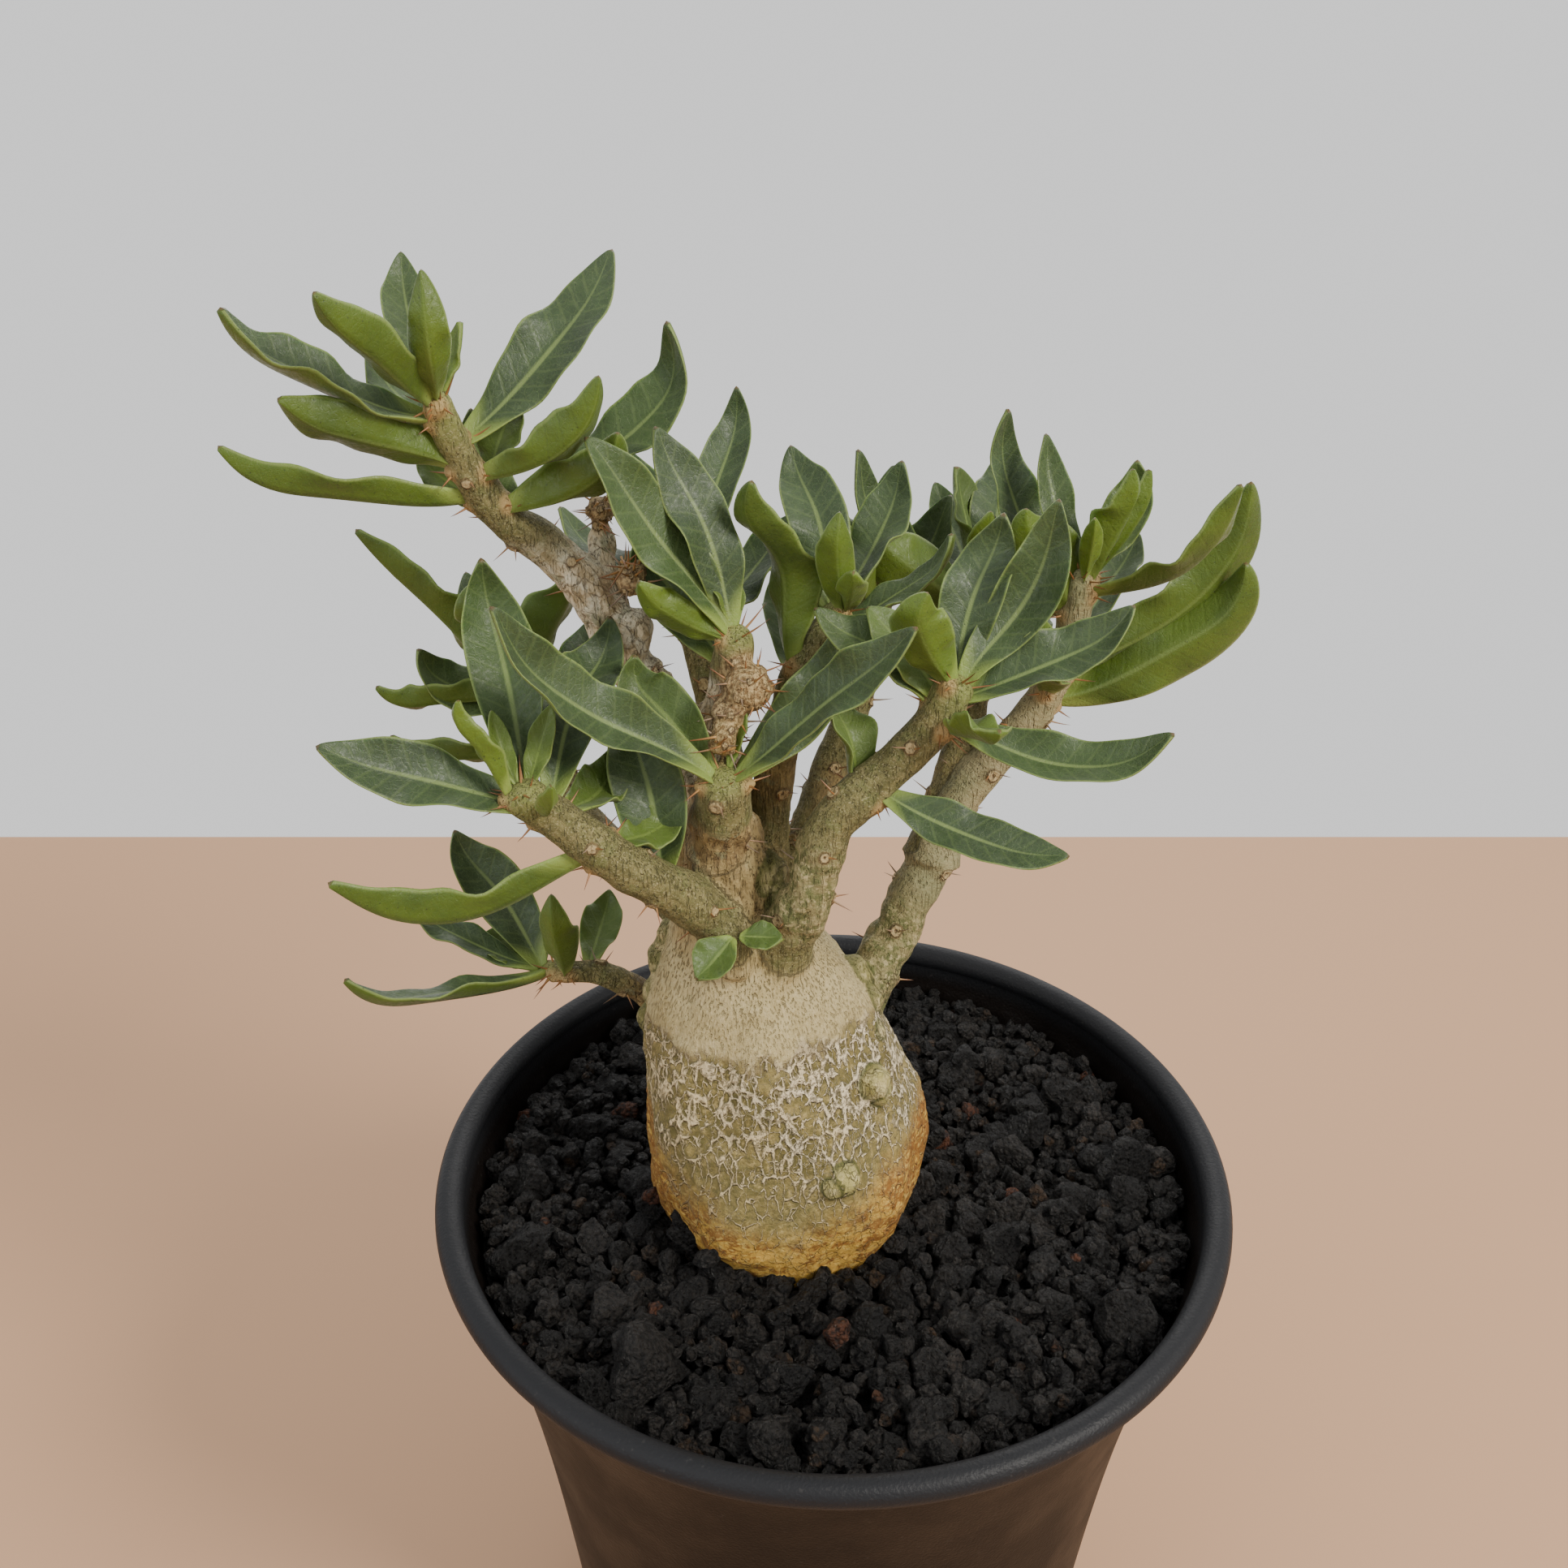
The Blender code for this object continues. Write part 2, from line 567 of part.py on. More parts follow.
def caudex_skin():
    """The caudex and trunk as one tube with level rings: ribs and low swellings vary each ring's radius."""
    middles = np.array([level[0] for level in CAUDEX_LEVELS])
    radii = np.array([level[1] for level in CAUDEX_LEVELS])
    turn = np.arange(CAUDEX_SIDES) * 2 * np.pi / CAUDEX_SIDES
    height = middles[:, 2][:, None]
    broad = 0.05 * np.sin(2 * turn + 0.6) + 0.03 * np.sin(5 * turn + height / 9)
    narrow = 0.02 * np.sin(9 * turn - height / 6)
    relief = (broad + narrow) * np.clip((height - ROOT_LEVEL) / 8, 0, 1)
    reach = radii[:, None] * (1 + relief)
    rings = np.stack(
        [
            middles[:, :1] + reach * np.cos(turn),
            middles[:, 1:2] + reach * np.sin(turn),
            np.broadcast_to(height, reach.shape),
        ],
        axis=2,
    )
    count = len(rings)
    faces = []
    for ring in range(count - 1):
        for step in range(CAUDEX_SIDES):
            here = ring * CAUDEX_SIDES + step
            after = ring * CAUDEX_SIDES + (step + 1) % CAUDEX_SIDES
            faces.append((here, after, after + CAUDEX_SIDES))
            faces.append((here, after + CAUDEX_SIDES, here + CAUDEX_SIDES))
    base, crown = count * CAUDEX_SIDES, count * CAUDEX_SIDES + 1
    top = (count - 1) * CAUDEX_SIDES
    for step in range(CAUDEX_SIDES):
        after = (step + 1) % CAUDEX_SIDES
        faces.append((base, after, step))
        faces.append((crown, top + step, top + after))
    crown_point = middles[-1] + np.array([0, 0, radii[-1] * 0.4])
    return np.vstack([rings.reshape(-1, 3), middles[0], crown_point]), faces


def nodule(turn, height, radius):
    """A bark nodule: a low-sided ball with its middle just under the skin."""
    heights = [level[0][2] for level in CAUDEX_LEVELS]
    middle = [np.interp(height, heights, [level[0][axis] for level in CAUDEX_LEVELS]) for axis in (0, 1)]
    reach = np.interp(height, heights, [level[1] for level in CAUDEX_LEVELS])
    angle = np.radians(turn)
    place = Vector((middle[0] + reach * np.cos(angle), middle[1] + reach * np.sin(angle), height))
    ball = bmesh.new()
    bmesh.ops.create_icosphere(ball, subdivisions=1, radius=radius, matrix=Matrix.Translation(place))
    points = [tuple(vertex.co) for vertex in ball.verts]
    faces = [tuple(vertex.index for vertex in face.verts) for face in ball.faces]
    ball.free()
    return points, faces


def build_caudex(material, draw):
    pieces = []
    for branch in BRANCHES.values():
        pieces.append(stem(branch.route, branch.radii, 0, branch.cut))
        root = smooth_route(branch.route, FINE)[int(branch.cut * WOOD_SPINE_STATION * FINE)]
        heading = draw.uniform(0, 360)
        for side in (-1, 1):
            reach = branch.radii[0] + SPINE_LENGTH
            pieces.append(spine(root, heading + side * SPINE_SPREAD / 2, 5, reach))
    for route, radii in STUBS:
        pieces.append(stem(route, radii))
    for (turn, height), radius in NODULES:
        pieces.append(nodule(turn, height, radius))
    obj = fuse("caudex", caudex_skin(), pieces, material)
    tidy_mesh(obj)
    return obj


def build_sprout(material, draw):
    sprout = Branch(route=SPROUT_ROUTE, radii=SPROUT_RADII, cut=0, leaves=SPROUT_LEAVES)
    pieces = []
    for leaf in sprout.leaves:
        pieces.append(blade(leaf_root(sprout, leaf), leaf, draw.uniform(0, 2 * np.pi)))
    obj = fuse("sprout", stem(SPROUT_ROUTE, SPROUT_RADII), pieces, material)
    tidy_mesh(obj)
    return obj


def wall_radius(height):
    """Outer radius of the pot's wall: a straight taper, with a flare that meets the rim."""
    depth = POT_HEIGHT - height
    return SHOULDER_RADIUS - WALL_TAPER * depth + RIM_FLARE * np.exp(-depth / FLARE_DEPTH)


def pot_profile():
    """Half section of the pot, from the boss under its floor round the rim to the floor's inside."""
    foot = wall_radius(0)
    outside = [(0, 0), (BOSS_RADIUS, 0), (BOSS_RADIUS + 1, FOOT_HEIGHT), (foot - FOOT_WIDTH - 1, FOOT_HEIGHT)]
    outside += [(foot - FOOT_WIDTH, 0), (foot - 1, 0), (wall_radius(1), 1)]
    rim_low = POT_HEIGHT - 2 * RIM_ROLL
    outside += [(wall_radius(z), z) for z in (40, 76, 90, rim_low - 1)]
    middle = POT_HEIGHT - RIM_ROLL
    turns = np.radians(np.linspace(-70, 220, 7))
    rim = [(RIM_RADIUS + RIM_ROLL * np.cos(a), middle + RIM_ROLL * np.sin(a)) for a in turns]
    floor = FOOT_HEIGHT + FLOOR_THICKNESS
    inside = [(wall_radius(z) - WALL, z) for z in (97, 88, 72, 40)]
    inside += [(wall_radius(floor) - WALL, floor), (0, floor)]
    return outside + rim + inside


def build_pot(material):
    shell = bmesh.new()
    ring = [shell.verts.new((radius * MM, 0, height * MM)) for radius, height in pot_profile()]
    edges = [shell.edges.new(pair) for pair in zip(ring, ring[1:])]
    bmesh.ops.spin(
        shell,
        geom=[*ring, *edges],
        axis=(0, 0, 1),
        cent=(0, 0, 0),
        angle=2 * np.pi,
        steps=POT_STEPS,
        use_merge=True,
    )
    bmesh.ops.remove_doubles(shell, verts=shell.verts, dist=1e-6)
    bmesh.ops.recalc_face_normals(shell, faces=shell.faces)
    mesh = bpy.data.meshes.new("pot")
    shell.to_mesh(mesh)
    shell.free()
    mesh.shade_smooth()
    pot = new_object("pot", mesh, material)
    drills = bpy.data.collections.new("drain_drills")
    bpy.context.scene.collection.children.link(drills)
    for turn in np.arange(DRAIN_COUNT) * 2 * np.pi / DRAIN_COUNT:
        drill = bmesh.new()
        way = Vector((np.cos(turn), np.sin(turn), 0))
        place = Matrix.Translation(way * DRAIN_CIRCLE * MM + Vector((0, 0, FOOT_HEIGHT * MM)))
        bmesh.ops.create_cone(
            drill,
            cap_ends=True,
            segments=8,
            radius1=DRAIN_RADIUS * MM,
            radius2=DRAIN_RADIUS * MM,
            depth=12 * MM,
            matrix=place,
        )
        drill_mesh = bpy.data.meshes.new("drill")
        drill.to_mesh(drill_mesh)
        drill.free()
        cutter = bpy.data.objects.new("drain_drill", drill_mesh)
        cutter.hide_render = True
        cutter.display_type = "WIRE"
        drills.objects.link(cutter)
    drills.hide_render = True
    holes = pot.modifiers.new("drain_holes", "BOOLEAN")
    holes.operation = "DIFFERENCE"
    holes.operand_type = "COLLECTION"
    holes.collection = drills
    return pot


def grain_field(places, draw):
    """Height of the gravel's top: over each grain's middle it stands up as a blunt facetted lump, and the
    highest lump at a place wins."""
    cells = int(2 * RIM_RADIUS / GRAIN_SIZE) + 2
    columns, rows = np.meshgrid(np.arange(cells), np.arange(cells))
    middles = np.stack([columns.ravel(), rows.ravel()], axis=1) * GRAIN_SIZE - RIM_RADIUS - GRAIN_SIZE
    middles = middles + draw.uniform(-0.4, 0.4, middles.shape) * GRAIN_SIZE
    sizes = draw.uniform(0.45, 0.8, len(middles)) * GRAIN_SIZE
    tops = draw.uniform(0.35, 1.0, len(middles)) * GRAIN_HEIGHT
    leans = draw.uniform(-0.3, 0.3, middles.shape)
    offset = places[:, None] - middles[None]
    far = np.abs(offset).max(axis=2) * 0.6 + np.linalg.norm(offset, axis=2) * 0.5
    lumps = tops * np.clip(1.35 - far / sizes, 0, 0.9) + (offset * leans[None]).sum(axis=2) * (far < sizes)
    return np.clip(lumps.max(axis=1), 0, GRAIN_HEIGHT * 1.2)


def build_gravel(material, draw):
    """A plug of gravel: plain sides and base, and a top of rings whose points stand up as grains. The
    caudex's root stands in a plain blind hole in it."""
    top_radius = wall_radius(SOIL_LEVEL) - WALL - SEAT_GAP
    centre = np.array(HOLE_CENTRE)
    faces = []
    rings = GRAVEL_RINGS
    steps = GRAVEL_STEPS
    turn = np.arange(steps) * 2 * np.pi / steps
    way = np.stack([np.cos(turn), np.sin(turn)], axis=1)
    hole = centre + HOLE_RADIUS * way
    outer = top_radius * way
    flat = np.concatenate([hole + (outer - hole) * share for share in np.linspace(0, 1, rings)])
    height = SOIL_LEVEL + grain_field(flat, draw)
    height[:steps] = SOIL_LEVEL
    height[-steps:] = SOIL_LEVEL
    points = [np.column_stack([flat, height])]
    for ring in range(rings - 1):
        for step in range(steps):
            here, after = ring * steps + step, ring * steps + (step + 1) % steps
            faces.append((here, after, after + steps))
            faces.append((here, after + steps, here + steps))
    count = rings * steps

    def add_ring(radius, level, middle):
        nonlocal count
        points.append(np.column_stack([middle + radius * way, np.full(steps, level)]))
        count += steps
        return count - steps

    def bridge(first, second):
        for step in range(steps):
            after = (step + 1) % steps
            faces.append((first + step, first + after, second + after))
            faces.append((first + step, second + after, second + step))

    floor = FOOT_HEIGHT + FLOOR_THICKNESS + SEAT_GAP
    previous = (rings - 1) * steps
    for level in (88, 72, 40):
        ring = add_ring(wall_radius(level) - WALL - SEAT_GAP, level, np.zeros(2))
        bridge(previous, ring)
        previous = ring
    ring = add_ring(wall_radius(floor) - WALL - SEAT_GAP, floor, np.zeros(2))
    bridge(previous, ring)
    points.append(np.array([[0, 0, floor]]))
    faces += [(ring + step, ring + (step + 1) % steps, count) for step in range(steps)]
    count += 1
    ring = add_ring(HOLE_RADIUS, HOLE_FLOOR, centre)
    bridge(0, ring)
    points.append(np.array([[*HOLE_CENTRE, HOLE_FLOOR]]))
    faces += [(ring + step, ring + (step + 1) % steps, count) for step in range(steps)]
    return new_object("gravel", mesh_from("gravel", np.vstack(points), faces), material)


def main():
    clear_scene()
    black_plastic = plain_material("black_plastic", (0.014, 0.014, 0.016), 0.42)
    lava = plain_material("lava_gravel", (0.025, 0.022, 0.02), 0.85)
    bark = plain_material("bark", (0.36, 0.29, 0.19), 0.85)
    build_pot(black_plastic)
    build_gravel(lava, np.random.default_rng(GRAVEL_SEED))
    draw = np.random.default_rng(LEAF_SEED)
    build_caudex(bark, draw)
    for name, branch in BRANCHES.items():
        leaf_green = plain_material(name + "_green", (0.12, 0.2, 0.09), 0.5)
        build_leafy_stem(name, branch, leaf_green, draw)
    build_sprout(plain_material("sprout_green", (0.2, 0.3, 0.08), 0.5), draw)


if __name__ == "__main__":
    main()
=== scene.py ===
"""Looks for a potted pachypodium: fissured bark over the caudex and its branches, blue-green wavy leaves,
orange-brown spines, black lava gravel and a satin black nursery pot. Blender 4.5; metres, +Z up.

Routes, radii and leaves are held in millimetres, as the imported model's own source holds them, and MM
turns them into metres. Every finished object sits at the origin with its place in its mesh.
"""

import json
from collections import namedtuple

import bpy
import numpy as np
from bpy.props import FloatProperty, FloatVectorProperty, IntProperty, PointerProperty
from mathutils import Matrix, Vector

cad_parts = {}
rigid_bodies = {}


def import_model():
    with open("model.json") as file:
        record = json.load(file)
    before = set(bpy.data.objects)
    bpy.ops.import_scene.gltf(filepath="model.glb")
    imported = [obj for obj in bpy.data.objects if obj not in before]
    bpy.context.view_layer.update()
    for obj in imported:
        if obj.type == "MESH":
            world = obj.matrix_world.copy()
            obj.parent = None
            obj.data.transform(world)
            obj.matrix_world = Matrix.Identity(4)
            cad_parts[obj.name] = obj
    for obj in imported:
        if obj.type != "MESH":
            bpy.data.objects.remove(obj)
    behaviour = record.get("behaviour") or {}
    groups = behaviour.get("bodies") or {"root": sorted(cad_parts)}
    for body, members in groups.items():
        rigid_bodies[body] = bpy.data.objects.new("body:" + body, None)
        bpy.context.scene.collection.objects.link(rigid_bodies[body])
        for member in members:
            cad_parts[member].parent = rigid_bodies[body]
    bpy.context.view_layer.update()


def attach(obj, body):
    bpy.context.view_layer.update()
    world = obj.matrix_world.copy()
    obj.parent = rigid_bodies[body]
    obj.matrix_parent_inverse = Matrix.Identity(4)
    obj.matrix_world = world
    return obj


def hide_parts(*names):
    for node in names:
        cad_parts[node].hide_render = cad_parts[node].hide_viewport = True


bl_info = {
    "name": "Potted Pachypodium",
    "version": (1, 0, 0),
    "blender": (4, 5, 0),
    "location": "View3D > Sidebar > Pachypodium",
    "description": "Bark, leaves, spines, gravel and pot of a small potted caudex plant",
    "category": "Add Mesh",
}

for startup_object in list(bpy.data.objects):
    bpy.data.objects.remove(startup_object, do_unlink=True)
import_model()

MM = 0.001

# Caudex and trunk: middle of each level and its radius
CAUDEX_LEVELS = (
    ((-6.3, -1.0, 80.0), 8.0),
    ((-6.3, -1.0, 86.0), 12.5),
    ((-6.3, -1.0, 92.0), 15.0),
    ((-6.3, -1.0, 98.0), 17.6),
    ((-6.7, -1.0, 103.0), 19.7),
    ((-6.8, -1.0, 109.0), 20.4),
    ((-7.4, -1.0, 116.0), 19.8),
    ((-8.9, -1.0, 123.0), 18.3),
    ((-10.0, -1.0, 130.0), 16.9),
    ((-11.2, -1.0, 137.0), 14.8),
    ((-12.2, -1.0, 143.0), 12.1),
    ((-13.5, -1.2, 148.0), 9.2),
    ((-14.8, -1.4, 153.0), 7.0),
    ((-16.0, -1.5, 160.0), 6.0),
    ((-16.0, -1.0, 166.0), 5.2),
    ((-16.0, -1.0, 169.0), 3.8),
)

# station: place along the branch's route, 0 at its root and 1 at its tip. heading: compass direction in
# the XY plane, in degrees from +X towards +Y. rise: angle of its chord above level. curl: how far it
# turns upwards from base to tip. roll: turn of the blade about its midrib. Lengths in millimetres.
Leaf = namedtuple("Leaf", "station heading rise length width curl roll")
# route: points from inside the older wood to the growing tip. radii: of the stem at root and tip.
# cut: where the wood, part of the caudex, ends and the leafy stem begins.
Branch = namedtuple("Branch", "route radii cut leaves")


def leaves(*rows):
    return [Leaf(*row) for row in rows]


BRANCHES = {
    "stem_front": Branch(
        route=[(-16, -2, 160), (-16, -4, 165), (-15.5, -6, 169.5), (-15, -7.5, 174), (-15, -9, 178)],
        radii=(4.2, 3.5),
        cut=0.52,
        leaves=leaves(
            (0.92, 197, 47, 38, 8, -15, 40),
            (0.96, 145, 47, 18, 8, 10, 40),
            (0.93, 345, 47, 33, 7.5, 12, -40),
            (0.88, 30, 50, 24, 7.5, 20, -40),
            (1.00, 60, 60, 8, 2.6, 0, 0),
        ),
    ),
    "stem_top": Branch(
        route=[(-16, 0, 163), (-16, 1, 170), (-16, 1.5, 177), (-15, 1.5, 183), (-14, 1, 189), (-13, 0, 194)],
        radii=(3.6, 2.4),
        cut=0.66,
        leaves=leaves(
            (0.96, 180, 57, 31, 8.5, -15, 40),
            (0.98, 150, 67, 27, 8, -15, 30),
            (0.94, 200, 40, 15, 5, 10, -80),
            (1.00, 125, 65, 11, 5, 10, 0),
            (0.80, 145, 50, 20, 8.5, 5, 40),
            (0.88, 120, 50, 22, 7.5, 15, 20),
        ),
    ),
    "stem_front_left": Branch(
        route=[
            (-12, -3, 148), (-17, -8, 155), (-22, -12, 162), (-28, -15, 168), (-34, -16, 174),
            (-38, -17, 178), (-40, -18, 181),
        ],
        radii=(3.7, 2.6),
        cut=0.30,
        leaves=leaves(
            (0.94, 110, 55, 30, 9, 15, 10),
            (0.88, 72, 38, 27, 8, 10, -20),
            (1.00, 195, 70, 14, 3.5, -10, -50),
            (0.98, 120, 50, 10, 2.8, 0, 0),
            (0.96, 65, 55, 11, 3.5, 0, -10),
            (0.83, 65, 15, 14, 6.5, 15, -20),
            (0.92, 295, 45, 10, 2.6, 50, 0),
            (0.89, 190, 25, 27, 8, 0, 35),
            (0.68, 200, 5, 33, 7, 40, -50),
            (0.44, 115, 60, 23, 9.5, -5, 20),
            (0.68, 45, 5, 12, 6, 0, -20),
        ),
    ),
    "stem_tall_left": Branch(
        route=[
            (-15, 0, 158), (-18, 3, 168), (-22, 6, 176), (-27, 8, 183), (-30, 9, 189), (-34, 9, 197),
            (-39, 9, 202), (-43, 7, 206), (-46, 5, 212), (-48, 3, 219), (-49, 2, 224),
        ],
        radii=(4.6, 1.9),
        cut=0.60,
        leaves=leaves(
            (0.95, 205, 35, 29, 6.5, 60, 20),
            (0.98, 240, 45, 24, 6, 30, -30),
            (0.99, 110, 40, 21, 6, 10, 10),
            (1.00, 280, 75, 17, 5, 15, 0),
            (0.98, 175, 45, 10, 2.8, 0, 0),
            (1.00, 50, 65, 9, 2.6, 0, 0),
            (0.90, 40, 40, 31, 8.5, 25, -30),
            (0.84, 345, 40, 22, 6, 35, 50),
            (0.76, 20, 45, 31, 8, 10, -30),
            (0.77, 345, 35, 20, 7, 40, 60),
            (0.86, 210, 30, 24, 7.5, -35, -70),
            (0.80, 195, 17, 31, 6.5, 30, -40),
            (0.75, 150, 25, 13, 6, 0, 30),
            (0.81, 50, 60, 13, 6, 20, -10),
            (0.68, 130, 50, 18, 6, 10, 20),
            (0.88, 130, 25, 22, 7, 20, 0),
        ),
    ),
    "stem_low_left": Branch(
        route=[(-20, 5, 127), (-27, 6, 131), (-30, 6, 133), (-34, 6, 135), (-39, 6, 135.5), (-43, 6, 136)],
        radii=(2.0, 1.6),
        cut=0.50,
        leaves=leaves(
            (0.94, 205, 15, 30, 5.5, 30, -20),
            (0.85, 265, 75, 18, 5.5, 5, 0),
            (0.97, 145, 50, 24, 8.5, 10, 30),
            (0.98, 150, 10, 11, 7, 10, 20),
            (0.99, 165, 30, 22, 5, 25, 10),
            (1.00, 115, 20, 10, 6, 0, 10),
            (0.73, 80, 25, 14, 6, 0, -10),
        ),
    ),
    "stem_front_right": Branch(
        route=[
            (-9, -5, 146), (-5, -8, 156), (-3, -8.5, 163), (-1, -8, 170), (5, -7, 176), (10, -6, 181),
            (13, -6, 186), (15, -6, 190),
        ],
        radii=(3.8, 2.5),
        cut=0.48,
        leaves=leaves(
            (0.98, 220, 70, 15, 7.5, 10, -50),
            (0.94, 55, 65, 23, 8, 0, -20),
            (0.96, 30, 60, 26, 8, 0, -40),
            (0.92, 5, 30, 25, 7.5, 10, -30),
            (0.87, 300, 20, 13, 6.5, 50, 20),
            (0.86, 345, 5, 29, 7, 35, -30),
            (0.60, 120, 55, 13, 6, 10, -20),
            (0.62, 340, -10, 26, 7, 25, -30),
            (0.90, 160, 35, 20, 6.5, -40, 20),
            (0.92, 150, 45, 15, 7, -30, 30),
        ),
    ),
    "stem_right": Branch(
        route=[
            (-3, 3, 124), (3, 5, 130.5), (7.5, 9, 137), (11, 12, 144), (14.5, 14, 151), (17, 15, 158),
            (22, 16, 165), (27, 16, 172), (30, 16, 178), (32, 15, 187), (32.5, 14, 196),
        ],
        radii=(4.2, 2.0),
        cut=0.63,
        leaves=leaves(
            (0.75, 0, 40, 33, 9.5, 50, 110),
            (0.96, 330, 45, 27, 7, 45, 20),
            (0.80, 5, 50, 36, 9.5, 30, 80),
            (0.90, 135, 65, 30, 6.5, 35, 20),
            (0.96, 120, 65, 21, 5, -20, 10),
            (0.98, 330, 75, 17, 6, 10, 30),
            (1.00, 50, 50, 17, 6.5, 5, -20),
            (0.99, 10, 65, 16, 4.5, 5, 60),
            (1.00, 275, 75, 10, 3, 0, 10),
            (0.92, 190, 65, 17, 8, -5, -90),
            (0.77, 245, 70, 14, 8, 20, 40),
            (0.86, 55, 25, 22, 8, 20, 0),
        ),
    ),
    "stem_back_left": Branch(
        route=[
            (-16, 4, 140), (-24, 9, 147), (-32, 15, 151), (-38, 20, 155), (-42, 25, 161), (-45, 28, 168),
            (-46, 29, 172),
        ],
        radii=(3.2, 2.0),
        cut=0.64,
        leaves=leaves(
            (0.94, 175, 50, 34, 8, 0, -60),
            (0.88, 175, 35, 19, 8, 5, 30),
            (0.98, 190, 5, 21, 5.5, 45, -60),
            (0.80, 190, 10, 22, 5.5, 35, -60),
            (0.90, 60, 60, 21, 9, 0, 100),
            (0.98, 235, 75, 20, 8, 0, -40),
            (1.00, 110, 55, 14, 5, 0, 10),
            (0.92, 120, 30, 26, 8, 25, 0),
            (0.84, 75, 20, 24, 8, 20, 0),
        ),
    ),
    "stem_centre": Branch(
        route=[
            (-10, 4, 150), (-10, 7, 157), (-9, 8, 165), (-8, 7, 172), (-7, 6, 178), (-5.5, 5, 184),
            (-2.5, 5.5, 190), (1, 7, 194),
        ],
        radii=(3.2, 2.2),
        cut=0.55,
        leaves=leaves(
            (0.78, 210, 77, 28, 8.5, 5, -20),
            (0.94, 110, 50, 24, 8, 0, 20),
            (0.95, 105, 45, 18, 7, 10, 10),
            (0.98, 260, 75, 16, 5, 10, -20),
            (0.97, 60, 45, 22, 7.5, -5, 10),
            (1.00, 275, 50, 11, 4, 0, 20),
            (0.88, 10, 40, 21, 5, 30, -10),
            (0.72, 95, 30, 20, 7, 15, 0),
        ),
    ),
    "stem_back": Branch(
        route=[(-14, 4, 150), (-15, 9, 162), (-16, 12, 172), (-19, 18, 182), (-21, 21, 190), (-22, 22, 196)],
        radii=(3.2, 2.0),
        cut=0.52,
        leaves=leaves(
            (0.92, 70, 45, 29, 6.5, 30, -10),
            (0.95, 285, 70, 14, 6, 10, -50),
            (0.97, 220, 55, 15, 6, 5, -30),
            (0.85, 265, 40, 14, 6, 0, -10),
            (1.00, 90, 55, 13, 5, 0, -10),
            (0.88, 120, 40, 23, 8, 20, 0),
            (0.80, 150, 30, 24, 8, 15, 0),
            (0.74, 50, 30, 24, 8, 25, 0),
        ),
    ),
    "stem_back_right": Branch(
        route=[(14, 14, 150), (16, 16, 157), (18, 20, 164), (20, 24, 172), (20, 26, 182), (20, 26, 190)],
        radii=(3.2, 2.0),
        cut=0.40,
        leaves=leaves(
            (0.94, 75, 40, 23, 8, -15, 0),
            (0.90, 160, 50, 27, 6.5, 30, 20),
            (0.87, 190, 45, 20, 9, 0, -100),
            (0.96, 105, 55, 17, 8, 15, -50),
            (0.81, 310, 45, 13, 7, 0, 50),
            (0.74, 50, 5, 16, 8, 0, -40),
            (0.84, 100, 25, 27, 8, 20, 0),
            (0.78, 25, 25, 25, 8, 25, 0),
            (1.00, 280, 75, 12, 5, 0, 0),
        ),
    ),
    "stem_back_centre": Branch(
        route=[(-6, 8, 145), (-4, 12, 155), (0, 18, 165), (4, 24, 174), (6, 27, 184), (6, 28, 190)],
        radii=(3.2, 2.0),
        cut=0.42,
        leaves=leaves(
            (0.94, 80, 40, 20, 6.5, -10, 40),
            (0.97, 115, 25, 15, 6, 0, 10),
            (0.90, 50, 35, 20, 7, 20, -10),
            (0.83, 135, 25, 24, 8, 15, 20),
            (0.78, 270, 25, 14, 7.5, 20, 20),
            (0.89, 230, 50, 18, 7, 0, -40),
            (0.80, 90, 20, 27, 8, 25, 0),
            (1.00, 170, 65, 13, 5, 0, 0),
        ),
    ),
}

# Old wood that carries no leaves: a dead stub on the tall left branch, and knobs round it
STUBS = (
    ([(-30, 10, 188), (-31, 12.5, 196), (-31.5, 14, 203)], (1.9, 1.3)),
    ([(-29, 8, 185), (-27, 8, 190), (-26, 8, 193)], (2.4, 1.6)),
    ([(-16.5, 1, 168), (-18.5, 0, 171), (-20, -0.5, 174)], (2.4, 1.5)),
)
# The young sprout low on the front of the trunk
SPROUT_ROUTE = [(-13.9, -11.2, 151), (-13.8, -11.5, 153), (-13.6, -12.2, 155)]
SPROUT_RADII = (1.4, 1.2)
SPROUT_LEAVES = leaves(
    (0.90, 225, -25, 7.5, 6, 15, 20),
    (0.90, 345, 10, 6, 4.2, 10, -30),
)


# Shape tools shared by every piece

GOLDEN_TURN = 137.5  # degrees from one leaf, scar or spine to the next
GOLDEN_SHARE = 0.618
LATTICE = 24  # cells along each side of the noise lattice, which then repeats
COARSE_STEPS = 60  # steps that measure a route's length
LIMB_STEP = 0.8  # spacing of a limb's rings
PLACE_STEP = 0.5  # spacing of the points that scars and spines are placed by
BLOCK = 8000  # points compared at once


def unit(vectors):
    return vectors / np.linalg.norm(vectors, axis=-1, keepdims=True)


def circle(sides):
    """Angles of this many steps round a turn."""
    return np.arange(sides) * 2 * np.pi / sides


def smooth_step(value, low, high):
    """0 below low and 1 above high, with the cubic 3t^2 - 2t^3 between them."""
    share = np.clip((value - low) / (high - low), 0, 1)
    return share * share * (3 - 2 * share)


def columns_at(value, known, table):
    """Each column of a table that is known at some values, read at others."""
    return np.stack([np.interp(value, known, column) for column in table.T], axis=1)


